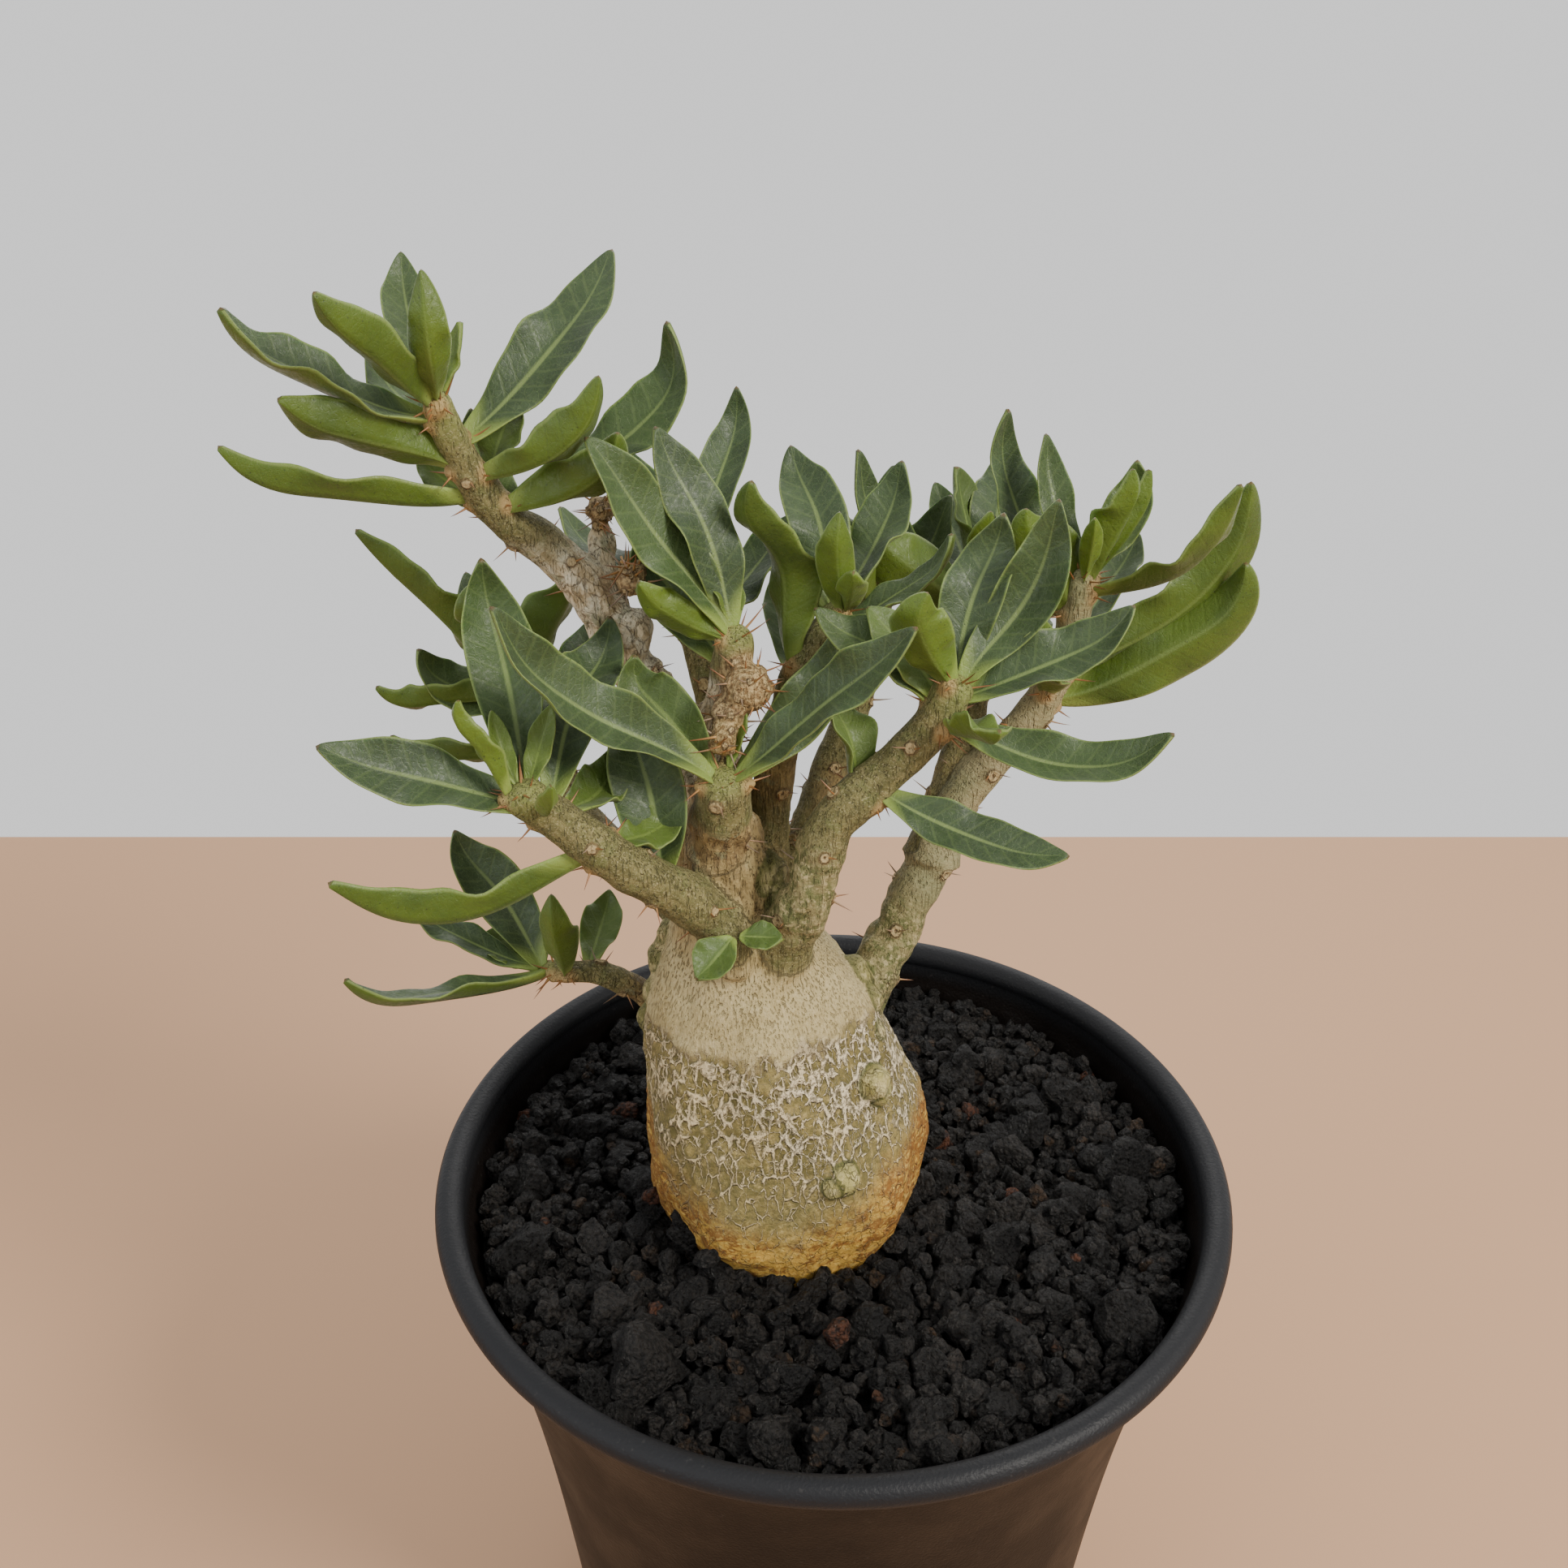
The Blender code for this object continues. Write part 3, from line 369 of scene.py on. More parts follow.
def smooth_route(points, count):
    """count points, evenly spaced by length, on a Catmull-Rom curve through the route's own points."""
    knots = np.asarray(points, float)
    knots = np.vstack([2 * knots[0] - knots[1], knots, 2 * knots[-1] - knots[-2]])
    share = np.linspace(0, 1, 24, endpoint=False)[:, None]
    pieces = []
    for a, b, c, d in zip(knots, knots[1:], knots[2:], knots[3:]):
        linear = (c - a) * share
        square = (2 * a - 5 * b + 4 * c - d) * share**2
        cube = (3 * b - a - 3 * c + d) * share**3
        pieces.append(0.5 * (2 * b + linear + square + cube))
    fine = np.vstack([*pieces, knots[-2:-1]])
    length = np.concatenate([[0], np.cumsum(np.linalg.norm(np.diff(fine, axis=0), axis=1))])
    return columns_at(np.linspace(0, length[-1], count), length, fine)


def lattice_noise(points, size, seed):
    """Noise between -1 and 1: random values on a cubic lattice of this size, blended between its eight
    nearest values with a smooth step along each axis."""
    lattice = np.random.default_rng(seed).uniform(-1, 1, (LATTICE, LATTICE, LATTICE))
    place = points / size
    whole = np.floor(place).astype(int)
    share = place - whole
    share = share * share * (3 - 2 * share)
    total = np.zeros(len(points))
    for corner in np.ndindex(2, 2, 2):
        index = (whole + corner) % LATTICE
        weight = np.prod(np.where(corner, share, 1 - share), axis=1)
        total += weight * lattice[index[:, 0], index[:, 1], index[:, 2]]
    return total


def ridges(points, size, seed):
    """Narrow crests between 0 and 1 where the lattice noise passes through zero."""
    return (1 - np.abs(lattice_noise(points, size, seed))) ** 4


def ring_faces(count, sides):
    """Triangles of a closed tube of count rings. The two end fans meet in two more points that follow the
    rings: the first end's, then the last end's."""
    ring, step = np.meshgrid(np.arange(count - 1), np.arange(sides), indexing="ij")
    here = (ring * sides + step).ravel()
    after = (ring * sides + (step + 1) % sides).ravel()
    step = np.arange(sides)
    turn = (step + 1) % sides
    top = (count - 1) * sides
    first = np.full(sides, count * sides)
    corners = (
        (here, after, after + sides),
        (here, after + sides, here + sides),
        (first, turn, step),
        (first + 1, top + step, top + turn),
    )
    return np.concatenate([np.stack(three, axis=1) for three in corners])


def course(route, spacing):
    """Points along a route at about this spacing, with the unit vectors along it and square to it."""
    coarse = smooth_route(route, COARSE_STEPS + 1)
    length = np.linalg.norm(np.diff(coarse, axis=0), axis=1).sum()
    points = smooth_route(route, max(4, int(round(length / spacing)) + 1))
    along = unit(np.gradient(points, axis=0))
    side = unit(np.cross(along, (0.31, 0.95, 0.05)))
    return points, along, side, np.cross(along, side), length


def rings_round(points, side, up, reach):
    """Rings square to a route: reach holds the radius at each of its points and each step round it."""
    turn = circle(reach.shape[1])
    around = side[:, None] * np.cos(turn)[None, :, None] + up[:, None] * np.sin(turn)[None, :, None]
    return points[:, None] + reach[:, :, None] * around


def turned(profile, sides):
    """A profile of radius and height, first and last point on the axis, turned round Z: one ring a point
    between them, closed by a fan at each end. It runs up the outside, from the base to the top."""
    turn = circle(sides)
    radius, height = profile[1:-1].T
    flat = (radius[:, None] * np.cos(turn), radius[:, None] * np.sin(turn))
    rings = np.stack([*flat, np.broadcast_to(height[:, None], flat[0].shape)], axis=2)
    ends = [(0, 0, profile[0, 1]), (0, 0, profile[-1, 1])]
    return np.vstack([rings.reshape(-1, 3), ends]), ring_faces(len(radius), sides)


def join_shells(shells):
    """One pair of arrays, points and triangles, from several."""
    starts = np.cumsum([0] + [len(points) for points, _ in shells])
    points = np.vstack([points for points, _ in shells])
    faces = np.vstack([faces + start for (_, faces), start in zip(shells, starts)])
    return points, faces


def edge_ends(faces):
    """The two ends of each side of every triangle, the lower index first."""
    return np.sort(np.concatenate([faces[:, [0, 1]], faces[:, [1, 2]], faces[:, [2, 0]]]), axis=1)


def ball(divisions):
    """Points and triangles of a unit sphere made by dividing an icosahedron's faces."""
    golden = (1 + 5**0.5) / 2
    corners = [(-1, golden, 0), (1, golden, 0), (-1, -golden, 0), (1, -golden, 0)]
    corners += [(0, -1, golden), (0, 1, golden), (0, -1, -golden), (0, 1, -golden)]
    corners += [(golden, 0, -1), (golden, 0, 1), (-golden, 0, -1), (-golden, 0, 1)]
    points = unit(np.array(corners, float))
    distance = np.linalg.norm(points[:, None] - points[None], axis=2)
    near = (distance > 0.1) & (distance < 1.2)
    faces = []
    for a, b in zip(*np.nonzero(np.triu(near))):
        for c in range(b + 1, 12):
            if near[b, c] and near[a, c]:
                outward = np.dot(np.cross(points[b] - points[a], points[c] - points[a]), points[a])
                faces.append((a, b, c) if outward > 0 else (a, c, b))
    faces = np.array(faces)
    for _ in range(divisions):
        edges, index = np.unique(edge_ends(faces), axis=0, return_inverse=True)
        middle = index.reshape(3, -1).T + len(points)
        points = np.vstack([points, unit(points[edges].sum(axis=1))])
        a, b, c = faces.T
        ab, bc, ca = middle.T
        corners = ((a, ab, ca), (b, bc, ab), (c, ca, bc), (ab, bc, ca))
        faces = np.concatenate([np.stack(three, axis=1) for three in corners])
    return points, faces


def nearest(points, places):
    """Distance to the nearest of the places, and which it is."""
    best = np.full(len(points), np.inf)
    which = np.zeros(len(points), int)
    square = (places**2).sum(axis=1)
    for start in range(0, len(points), BLOCK):
        block = points[start : start + BLOCK]
        gap = square[None] - 2 * block @ places.T
        index = gap.argmin(axis=1)
        best[start : start + BLOCK] = np.linalg.norm(block - places[index], axis=1)
        which[start : start + BLOCK] = index
    return best, which


def add_object(name, data):
    """A new object in the scene."""
    made = bpy.data.objects.new(name, data)
    bpy.context.scene.collection.objects.link(made)
    return made


def plain_object(name, points, faces):
    """An object from arrays, for a shape that another one is made from."""
    mesh = bpy.data.meshes.new(name)
    mesh.from_pydata(points.tolist(), [], faces.tolist())
    return add_object(name, mesh)


def remove_object(made):
    mesh = made.data
    bpy.data.objects.remove(made, do_unlink=True)
    bpy.data.meshes.remove(mesh)


def applied_mesh(made):
    """A mesh with the object's modifiers applied."""
    bpy.context.view_layer.update()
    return bpy.data.meshes.new_from_object(made.evaluated_get(bpy.context.evaluated_depsgraph_get()))


def new_piece(name, points, faces, material, fields=None, smooth=True):
    """A mesh object from arrays in millimetres. fields maps an attribute's name to one vector a point."""
    mesh = bpy.data.meshes.new(name)
    mesh.vertices.add(len(points))
    mesh.vertices.foreach_set("co", (points * MM).astype(np.float32).ravel())
    mesh.loops.add(faces.size)
    mesh.loops.foreach_set("vertex_index", faces.astype(np.int32).ravel())
    mesh.polygons.add(len(faces))
    mesh.polygons.foreach_set("loop_start", np.arange(0, faces.size, 3, dtype=np.int32))
    mesh.polygons.foreach_set("use_smooth", np.full(len(faces), smooth))
    mesh.update(calc_edges=True)
    for label, values in (fields or {}).items():
        layer = mesh.attributes.new(label, "FLOAT_VECTOR", "POINT")
        layer.data.foreach_set("vector", values.astype(np.float32).ravel())
    mesh.materials.append(material)
    piece = add_object(name, mesh)
    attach(piece, "root")
    return piece


# Finishes


class Finish:
    """A material under construction, with a short method for each kind of node that the finishes use."""

    def __init__(self, name):
        self.material = bpy.data.materials.new(name)
        self.material.use_nodes = True
        self.tree = self.material.node_tree
        self.shader = self.tree.nodes["Principled BSDF"]

    def feed(self, socket, value):
        """Links a socket to another, or sets it to a value, a colour also where it is given without alpha."""
        if isinstance(value, bpy.types.NodeSocket):
            self.tree.links.new(value, socket)
        elif socket.type == "RGBA":
            socket.default_value = (*value, 1.0)
        else:
            socket.default_value = value

    def add(self, kind, inputs=(), output=0, **settings):
        made = self.tree.nodes.new("ShaderNode" + kind)
        for key, value in settings.items():
            setattr(made, key, value)
        for key, value in dict(inputs).items():
            self.feed(made.inputs[key], value)
        return made.outputs[output]

    def millimetres(self):
        return self.stretch(self.add("TexCoord", output="Object"), (1 / MM, 1 / MM, 1 / MM))

    def stretch(self, vector, scale):
        return self.add("Mapping", {"Vector": vector, "Scale": scale})

    def field(self, name):
        """The three values of a piece's own attribute."""
        return self.parts(self.vector_field(name))

    def vector_field(self, name):
        return self.add("Attribute", output="Vector", attribute_name=name)

    def parts(self, vector):
        split = self.tree.nodes.new("ShaderNodeSeparateXYZ")
        self.tree.links.new(vector, split.inputs[0])
        return tuple(split.outputs)

    def noise(self, vector, size, detail=3.0, roughness=0.55):
        inputs = {"Vector": vector, "Scale": 1 / size, "Detail": detail, "Roughness": roughness}
        return self.add("TexNoise", inputs)

    def cells(self, vector, size, feature="F1", randomness=1.0):
        inputs = {"Vector": vector, "Scale": 1 / size, "Randomness": randomness}
        return self.add("TexVoronoi", inputs, output="Distance", feature=feature)

    def band(self, value, low, high, start=0.0, end=1.0):
        """start below low and end above high, with a smooth step between them."""
        inputs = {"Value": value, "From Min": low, "From Max": high, "To Min": start, "To Max": end}
        return self.add("MapRange", inputs, interpolation_type="SMOOTHSTEP")

    def math(self, operation, first, second=0.0):
        return self.add("Math", {0: first, 1: second}, operation=operation)

    def plus(self, first, *others):
        for other in others:
            first = self.math("ADD", first, other)
        return first

    def times(self, first, *others):
        for other in others:
            first = self.math("MULTIPLY", first, other)
        return first

    def rest(self, value):
        """What is left of 1."""
        return self.math("SUBTRACT", 1.0, value)

    def mix(self, factor, first, second):
        made = self.tree.nodes.new("ShaderNodeMix")
        made.data_type = "RGBA"
        for socket, value in ((0, factor), (6, first), (7, second)):
            self.feed(made.inputs[socket], value)
        return made.outputs[2]

    def paint(self, under, tone, *shares):
        """A tone over a colour, as strong as the product of the shares."""
        return self.mix(self.times(*shares), under, tone)

    def bend(self, vector, size, amount):
        """The vector pushed about by noise of this size, by up to half of amount each way."""
        inputs = {"Vector": vector, "Scale": 1 / size, "Detail": 2.0}
        push = self.add("TexNoise", inputs, output="Color")
        centred = self.add("VectorMath", {0: push, 1: (0.5, 0.5, 0.5)}, operation="SUBTRACT")
        scaled = self.add("VectorMath", {0: centred, "Scale": amount}, operation="SCALE")
        return self.add("VectorMath", {0: vector, 1: scaled}, operation="ADD")

    def set(self, **sockets):
        for name, value in sockets.items():
            self.feed(self.shader.inputs[name.replace("_", " ")], value)

    def relief(self, height, depth, strength=1.0):
        """Height from 0 to 1 shown as relief of this depth in millimetres."""
        inputs = {"Strength": strength, "Distance": depth * MM, "Height": height}
        self.set(Normal=self.add("Bump", inputs))


# Bark of the caudex, trunk and branches

LIMB_SIDES = 22
CAUDEX_SIDES = 96
CAUDEX_RINGS = 72
STUB_SWELL = 1.2  # old stubs swell a little with their loose bark
SEAM_LEVEL = 136.0  # where the smooth upper bark ends and the cracked net begins
LAST_STATION = 0.985  # leaves and scars keep off the very tip of a stem
YOUNG_LENGTH = 12  # a leaf shorter than this has just opened
FIRST_SCAR = 0.14  # station of a branch's first old scar
SCAR_STEP = 3.3  # length of stem for each old scar
CUSHION_SIZE, CUSHION_SUNK = 1.15, 0.3  # a leaf cushion's radius, and how deep its middle lies
SCAR_SIZE, SCAR_SUNK = 1.2, 0.75  # the same of an old scar of size 1
SCAR_RAISED = 0.45  # how far that scar's top stands above the stem's skin
SMOOTH_ROUNDS = 5
# How weathered a branch's old wood is, from 0, green-grey and smooth, to 1, tan and cracked
WEATHERED = {
    "stem_front": 0.9,
    "stem_top": 0.95,
    "stem_tall_left": 0.9,
    "stem_right": 0.2,
    "stem_front_right": 0.15,
    "stem_low_left": 0.6,
    "stem_front_left": 0.25,
}
WEATHERED_ELSEWHERE = 0.4
PALE_BRANCHES = ("stem_top", "stem_tall_left")
# Swellings that the photo shows on the caudex and trunk: turn in degrees, height, radius, how far it lies
# out, and how green it is
SWELLINGS = (
    (349, 158, 2.8, 0.2, 0.7),
    (340, 154.5, 2.2, 0.0, 0.6),
    (268, 149.4, 2.2, 0.9, 0.1),
    (274, 149.2, 1.9, 0.9, 0.1),
    (262, 149.6, 1.7, 0.9, 0.1),
    (331, 127.6, 2.3, 0.1, 1.0),
    (333, 125.4, 1.8, -0.1, 1.0),
    (297, 117.5, 2.3, -0.1, 1.0),
    (291.5, 116.9, 1.5, -0.1, 1.0),
    (182, 133.5, 2.2, -0.3, 0.6),
    (174, 142.0, 2.6, -0.1, 0.5),
    (186, 138.5, 1.8, 0.0, 0.4),
    (168, 146.0, 2.0, 0.4, 0.4),
    (5, 134.5, 2.4, -0.2, 0.7),
    (352, 132.0, 1.6, -0.1, 0.7),
    (16, 137.5, 2.4, 0.2, 0.7),
    (80, 134, 2.8, 0.0, 0.8),
    (120, 146, 2.6, 0.0, 0.6),
    (40, 124, 2.4, 0.0, 1.0),
)
# Woody heads, left where flowers and shoots fell: middle, radius and count of scars
HEADS = (
    (-11.8, -3.2, 187.0, 3.1, 14),
    (-14.3, -3.8, 183.3, 2.5, 9),
    (-31.2, 13.2, 204.6, 1.9, 8),
    (-27.0, 7.3, 197.5, 2.5, 10),
    (-15.0, -7.0, 181.0, 1.9, 7),
)


def caudex_middle(height):
    """Middle and radius of the caudex at these heights, on smooth curves through its levels."""
    knots = np.array([(*middle, radius) for middle, radius in CAUDEX_LEVELS])
    fine = np.concatenate([[knots[0]], (knots[1:] + knots[:-1]) / 2, [knots[-1]]])
    soft = (np.interp(height, knots[:, 2], knots[:, 3]) * 3 + np.interp(height, fine[:, 2], fine[:, 3])) / 4
    x, y = (np.interp(height, knots[:, 2], knots[:, axis]) for axis in (0, 1))
    return x, y, soft


def caudex_shell():
    """The caudex as level rings whose radius follows its levels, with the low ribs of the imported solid."""
    height = np.linspace(CAUDEX_LEVELS[0][0][2], CAUDEX_LEVELS[-1][0][2], CAUDEX_RINGS)
    x, y, radius = caudex_middle(height)
    turn = circle(CAUDEX_SIDES)
    level = height[:, None]
    relief = 0.05 * np.sin(2 * turn + 0.6) + 0.03 * np.sin(5 * turn + level / 9)
    relief = relief + 0.02 * np.sin(9 * turn - level / 6)
    reach = radius[:, None] * (1 + relief * smooth_step(level, 92, 104))
    flat = (x[:, None] + reach * np.cos(turn), y[:, None] + reach * np.sin(turn))
    rings = np.stack([*flat, np.broadcast_to(level, reach.shape)], axis=2)
    ends = [(x[0], y[0], height[0]), (x[-1], y[-1], height[-1])]
    return np.vstack([rings.reshape(-1, 3), ends]), ring_faces(CAUDEX_RINGS, CAUDEX_SIDES)


def limb(route, radii, seed, flare=1.6):
    """A branch: its radius runs from root to tip, flares where it leaves the older wood, swells a little at
    each year's ring, wanders by noise and closes in a dome at its tip."""
    points, along, side, up, length = course(route, LIMB_STEP)
    share = np.linspace(0, 1, len(points))
    radius = np.interp(share, [0, 1], radii) + flare * np.exp(-share * length / 4.5)
    radius = radius * (1 + 0.035 * np.sin(share * length / 1.5 + seed))
    dome = np.clip((1 - share) * length / radii[1], 0, 1)
    radius = radius * np.sqrt(1 - (1 - dome) ** 2 * 0.96)
    reach = np.repeat(radius[:, None], LIMB_SIDES, axis=1)
    lumps = lattice_noise(rings_round(points, side, up, reach).reshape(-1, 3), 3.2, seed)
    rings = rings_round(points, side, up, reach * (1 + 0.07 * lumps.reshape(reach.shape)))
    return np.vstack([rings.reshape(-1, 3), points[:1], points[-1:]]), ring_faces(len(points), LIMB_SIDES)


def lump(middle, radius, stretch=(1, 1, 1)):
    points, faces = ball(2)
    return points * radius * np.array(stretch) + middle, faces


def swelling_place(turn, height, out):
    x, y, radius = caudex_middle(np.array([float(height)]))
    angle = np.radians(turn)
    reach = radius[0] + out
    return np.array([x[0] + reach * np.cos(angle), y[0] + reach * np.sin(angle), height])


def scar_places():
    """Every leaf cushion and old leaf scar: its middle on the stem's skin, the way out of the stem, 1 for a
    cushion that carries a leaf or 0 for a scar, and its size."""
    rows = []
    for name, branch in BRANCHES.items():
        points, along, side, up, length = course(branch.route, PLACE_STEP)
        radius = np.interp(np.linspace(0, 1, len(points)), [0, 1], branch.radii)
        for leaf in branch.leaves:
            if leaf.length < YOUNG_LENGTH:
                continue
            index = int(min(leaf.station, LAST_STATION) * (len(points) - 1))
            heading = np.radians(leaf.heading)
            out = np.array([np.cos(heading), np.sin(heading), 0.0])
            out = unit(out - along[index] * np.dot(out, along[index]))
            rows.append((*(points[index] + out * radius[index]), *out, 1.0, 1.0))
        last = min(min(leaf.station for leaf in branch.leaves) + 0.3, 0.85)
        count = int(length * (last - FIRST_SCAR) / SCAR_STEP)
        for number, station in enumerate(np.linspace(FIRST_SCAR, last, max(count, 1))):
            index = int(station * (len(points) - 1))
            turn = np.radians(number * GOLDEN_TURN + len(name) * 40)
            out = side[index] * np.cos(turn) + up[index] * np.sin(turn)
            size = 0.72 + 0.42 * (number * GOLDEN_SHARE % 1)
            rows.append((*(points[index] + out * radius[index]), *out, 0.0, size))
    for x, y, z, radius, count in HEADS:
        rise = 1 - 2 * (np.arange(count) + 0.5) / count
        turn = np.radians(GOLDEN_TURN) * np.arange(count)
        flat = np.sqrt(1 - rise**2)
        out = np.stack([flat * np.cos(turn), flat * np.sin(turn), rise], axis=1)
        size = 0.62 + 0.35 * (np.arange(count) * GOLDEN_SHARE % 1)
        rows.extend(np.column_stack([out * radius + (x, y, z), out, np.zeros(count), size]).tolist())
    return np.array(rows)


def bark_shells(scars):
    """The closed shells that the bark is joined from: caudex, limbs, stubs, swellings, scars and heads."""
    shells = [caudex_shell()]
    for number, branch in enumerate(BRANCHES.values()):
        shells.append(limb(branch.route, branch.radii, 20 + number))
    for number, (route, radii) in enumerate(STUBS):
        shells.append(limb(route, np.array(radii) * STUB_SWELL, 50 + number, 1.0))
    shells.append(limb(SPROUT_ROUTE, SPROUT_RADII, 70, 0.8))
    for turn, height, radius, out, green in SWELLINGS:
        shells.append(lump(swelling_place(turn, height, out), radius, (1, 1, 1.15)))
    for scar in scars:
        leafy, size = scar[6:]
        radius, sunk = (CUSHION_SIZE, CUSHION_SUNK) if leafy else (SCAR_SIZE * size, SCAR_SUNK * size)
        shells.append(lump(scar[:3] - scar[3:6] * sunk, radius))
    for x, y, z, radius, count in HEADS:
        shells.append(lump(np.array([x, y, z]), radius))
    return shells


def one_skin(points, faces, voxel):
    """The shells joined into one closed skin by a voxel remesh, as triangles in millimetres."""
    shell = plain_object("bark_shells", points, faces)
    remesh = shell.modifiers.new("skin", "REMESH")
    remesh.mode = "VOXEL"
    remesh.voxel_size = voxel
    skin = applied_mesh(shell)
    skin.calc_loop_triangles()
    points = np.empty(len(skin.vertices) * 3, np.float32)
    skin.vertices.foreach_get("co", points)
    faces = np.empty(len(skin.loop_triangles) * 3, np.int32)
    skin.loop_triangles.foreach_get("vertices", faces)
    remove_object(shell)
    bpy.data.meshes.remove(skin)
    return points.reshape(-1, 3).astype(float), faces.reshape(-1, 3)


def smoothed(points, faces, rounds):
    """Each point moved halfway to the mean of its neighbours, this many times."""
    edges = np.unique(edge_ends(faces), axis=0)
    ends = np.concatenate([edges[:, 0], edges[:, 1]])
    others = np.concatenate([edges[:, 1], edges[:, 0]])
    count = np.bincount(ends, minlength=len(points))
    for _ in range(rounds):
        mean = [np.bincount(ends, points[others, axis], len(points)) / count for axis in range(3)]
        points = (points + np.stack(mean, axis=1)) / 2
    return points


def point_normals(points, faces):
    corners = points[faces]
    normal = np.cross(corners[:, 1] - corners[:, 0], corners[:, 2] - corners[:, 0])
    total = np.zeros_like(points)
    for axis in range(3):
        total[:, axis] = sum(np.bincount(corner, normal[:, axis], len(points)) for corner in faces.T)
    return unit(total + 1e-12)


class Courses:
    """Points along every limb with its directions, radius, distance and weathering, for reading a skin by."""

    def __init__(self):
        rows = []
        for number, (name, branch) in enumerate(BRANCHES.items()):
            points, along, side, up, length = course(branch.route, LIMB_STEP)
            share = np.linspace(0, 1, len(points))
            radius = np.interp(share, [0, 1], branch.radii)
            aged = WEATHERED.get(name, WEATHERED_ELSEWHERE)
            aged = aged * smooth_step(share, branch.cut + 0.22, branch.cut - 0.12)
            values = (radius, share * length, aged, share, share * 0 + number)
            rows.append(np.column_stack([points, along, side, up, *values]))
        table = np.vstack(rows)
        self.points, self.along, self.side, self.up = (table[:, start : start + 3] for start in (0, 3, 6, 9))
        self.radius, self.distance, self.aged, self.share, self.number = table[:, 12:].T


class SkinFields:
    """What each point of the smoothed skin is, and how far its bark stands out, as one value a point."""

    def __init__(self, points, scars):
        self.points = points
        self.height = points[:, 2]
        self.read_limbs()
        self.read_levels()
        self.read_scars(scars)
        self.read_knobs()
        self.read_branches()

    def read_limbs(self):
        """On the caudex (onto 1) or a limb (0), its place on the limb straightened out, how weathered the
        limb is there, how near its tip and which it is."""
        courses = Courses()
        best, which = nearest(self.points, courses.points)
        offset = self.points - courses.points[which]
        ways = (courses.side, courses.up, courses.along)
        aside, above, ahead = ((offset * way[which]).sum(axis=1) for way in ways)
        self.straight = np.stack([aside, above, courses.distance[which] + ahead], axis=1)
        x, y, radius = caudex_middle(self.height)
        from_axis = np.hypot(self.points[:, 0] - x, self.points[:, 1] - y) - radius
        from_limb = best - courses.radius[which]
        self.onto = smooth_step(from_limb - from_axis, -1.2, 1.4) * smooth_step(self.height, 171, 164)
        self.aged = courses.aged[which]
        self.share = courses.share[which]
        self.number = courses.number[which].astype(int)

    def read_levels(self):
        """Above the torn seam (upper 1), and on the fibrous trunk."""
        wander = 3.0 * lattice_noise(self.points, 9.0, 3)
        torn = 0.35 * wander + 1.4 * lattice_noise(self.points, 2.4, 15)
        self.torn_height = self.height + (torn + 0.9 * lattice_noise(self.points, 1.1, 16))
        self.upper = smooth_step(self.torn_height, SEAM_LEVEL - 1.5, SEAM_LEVEL + 1.5)
        self.trunk = smooth_step(self.height + wander, 147, 153) * self.onto

    def read_scars(self, scars):
        """Distance from the nearest scar's middle in its own sizes, and whether it is a leaf cushion."""
        raised = np.where(scars[:, 6] > 0, 0.0, SCAR_RAISED * scars[:, 7])
        gap, which = nearest(self.points, scars[:, :3] + scars[:, 3:6] * raised[:, None])
        self.gap = gap / scars[which, 7]
        self.leafy = scars[which, 6]
        self.cushion = smooth_step(self.gap, 2.0, 0.9) * self.leafy
        self.ring = np.exp(-(((self.gap - 0.85) / 0.3) ** 2)) - 0.9 * np.exp(-((self.gap / 0.5) ** 2))

    def read_knobs(self):
        """On a swelling, how mossy it is, and on a woody head."""
        table = np.array(SWELLINGS)
        knobs = np.array([swelling_place(turn, level, out) for turn, level, radius, out, green in SWELLINGS])
        gap, knob = nearest(self.points, knobs)
        self.onto_knob = smooth_step(gap / table[knob, 2], 1.45, 0.85)
        self.moss = self.onto_knob * table[knob, 4]
        heads = np.array(HEADS)
        gap, head = nearest(self.points, heads[:, :3])
        self.woody = smooth_step(gap / heads[head, 3], 1.75, 1.2)

    def read_branches(self):
        """The smooth silver part and the rough root of the branches on the right, and the pale branches."""
        right, front_right = self.on("stem_right"), self.on("stem_front_right")
        self.silver = right * smooth_step(self.share, 0.26, 0.38)
        self.rough = right * smooth_step(self.share, 0.36, 0.26)
        self.rough += front_right * smooth_step(self.share, 0.12, 0.2) * smooth_step(self.share, 0.5, 0.38)
        self.pale = self.on(*PALE_BRANCHES)

    def on(self, *names):
        """1 on the limbs of these names, and 0 elsewhere."""
        numbers = [list(BRANCHES).index(name) for name in names]
        return np.isin(self.number, numbers) * (1 - self.onto)

    def caudex_relief(self):
        """Fine upright ridges above the seam, the net's crests below it, a step at it, and trunk fibres."""
        points, onto, upper, trunk = self.points, self.onto, self.upper, self.trunk
        upright = np.column_stack([points[:, :2], self.height / 4.0])
        relief = onto * (1 - trunk) * upper * (0.10 - 0.16 * ridges(upright, 1.1, 7))
        relief += onto * (1 - upper) * 0.30 * (ridges(upright * [1, 1, 1.8], 1.9, 8) - 0.4)
        lip = smooth_step(self.torn_height, SEAM_LEVEL + 0.5, SEAM_LEVEL + 6)
        relief += onto * upper * (0.20 - 0.12 * lip)
        relief += trunk * 0.9 * (0.35 - ridges(upright, 1.7, 9))
        return relief + trunk * 0.35 * lattice_noise(points, 1.6, 21)

    def limb_relief(self):
        """Growth rings, and on weathered wood cracks along it and lumps."""
        straight, aged = self.straight, self.aged
        growth_rings = lattice_noise(np.column_stack([straight[:, :2] / 4, straight[:, 2]]), 0.9, 10)
        cracks = ridges(straight * [1, 1, 0.35], 1.3, 11)
        wood = 0.12 * growth_rings - 0.40 * aged * cracks
        wood = wood + 0.40 * aged * lattice_noise(self.points, 1.5, 12)
        return (1 - self.onto) * (0.25 + aged) * wood

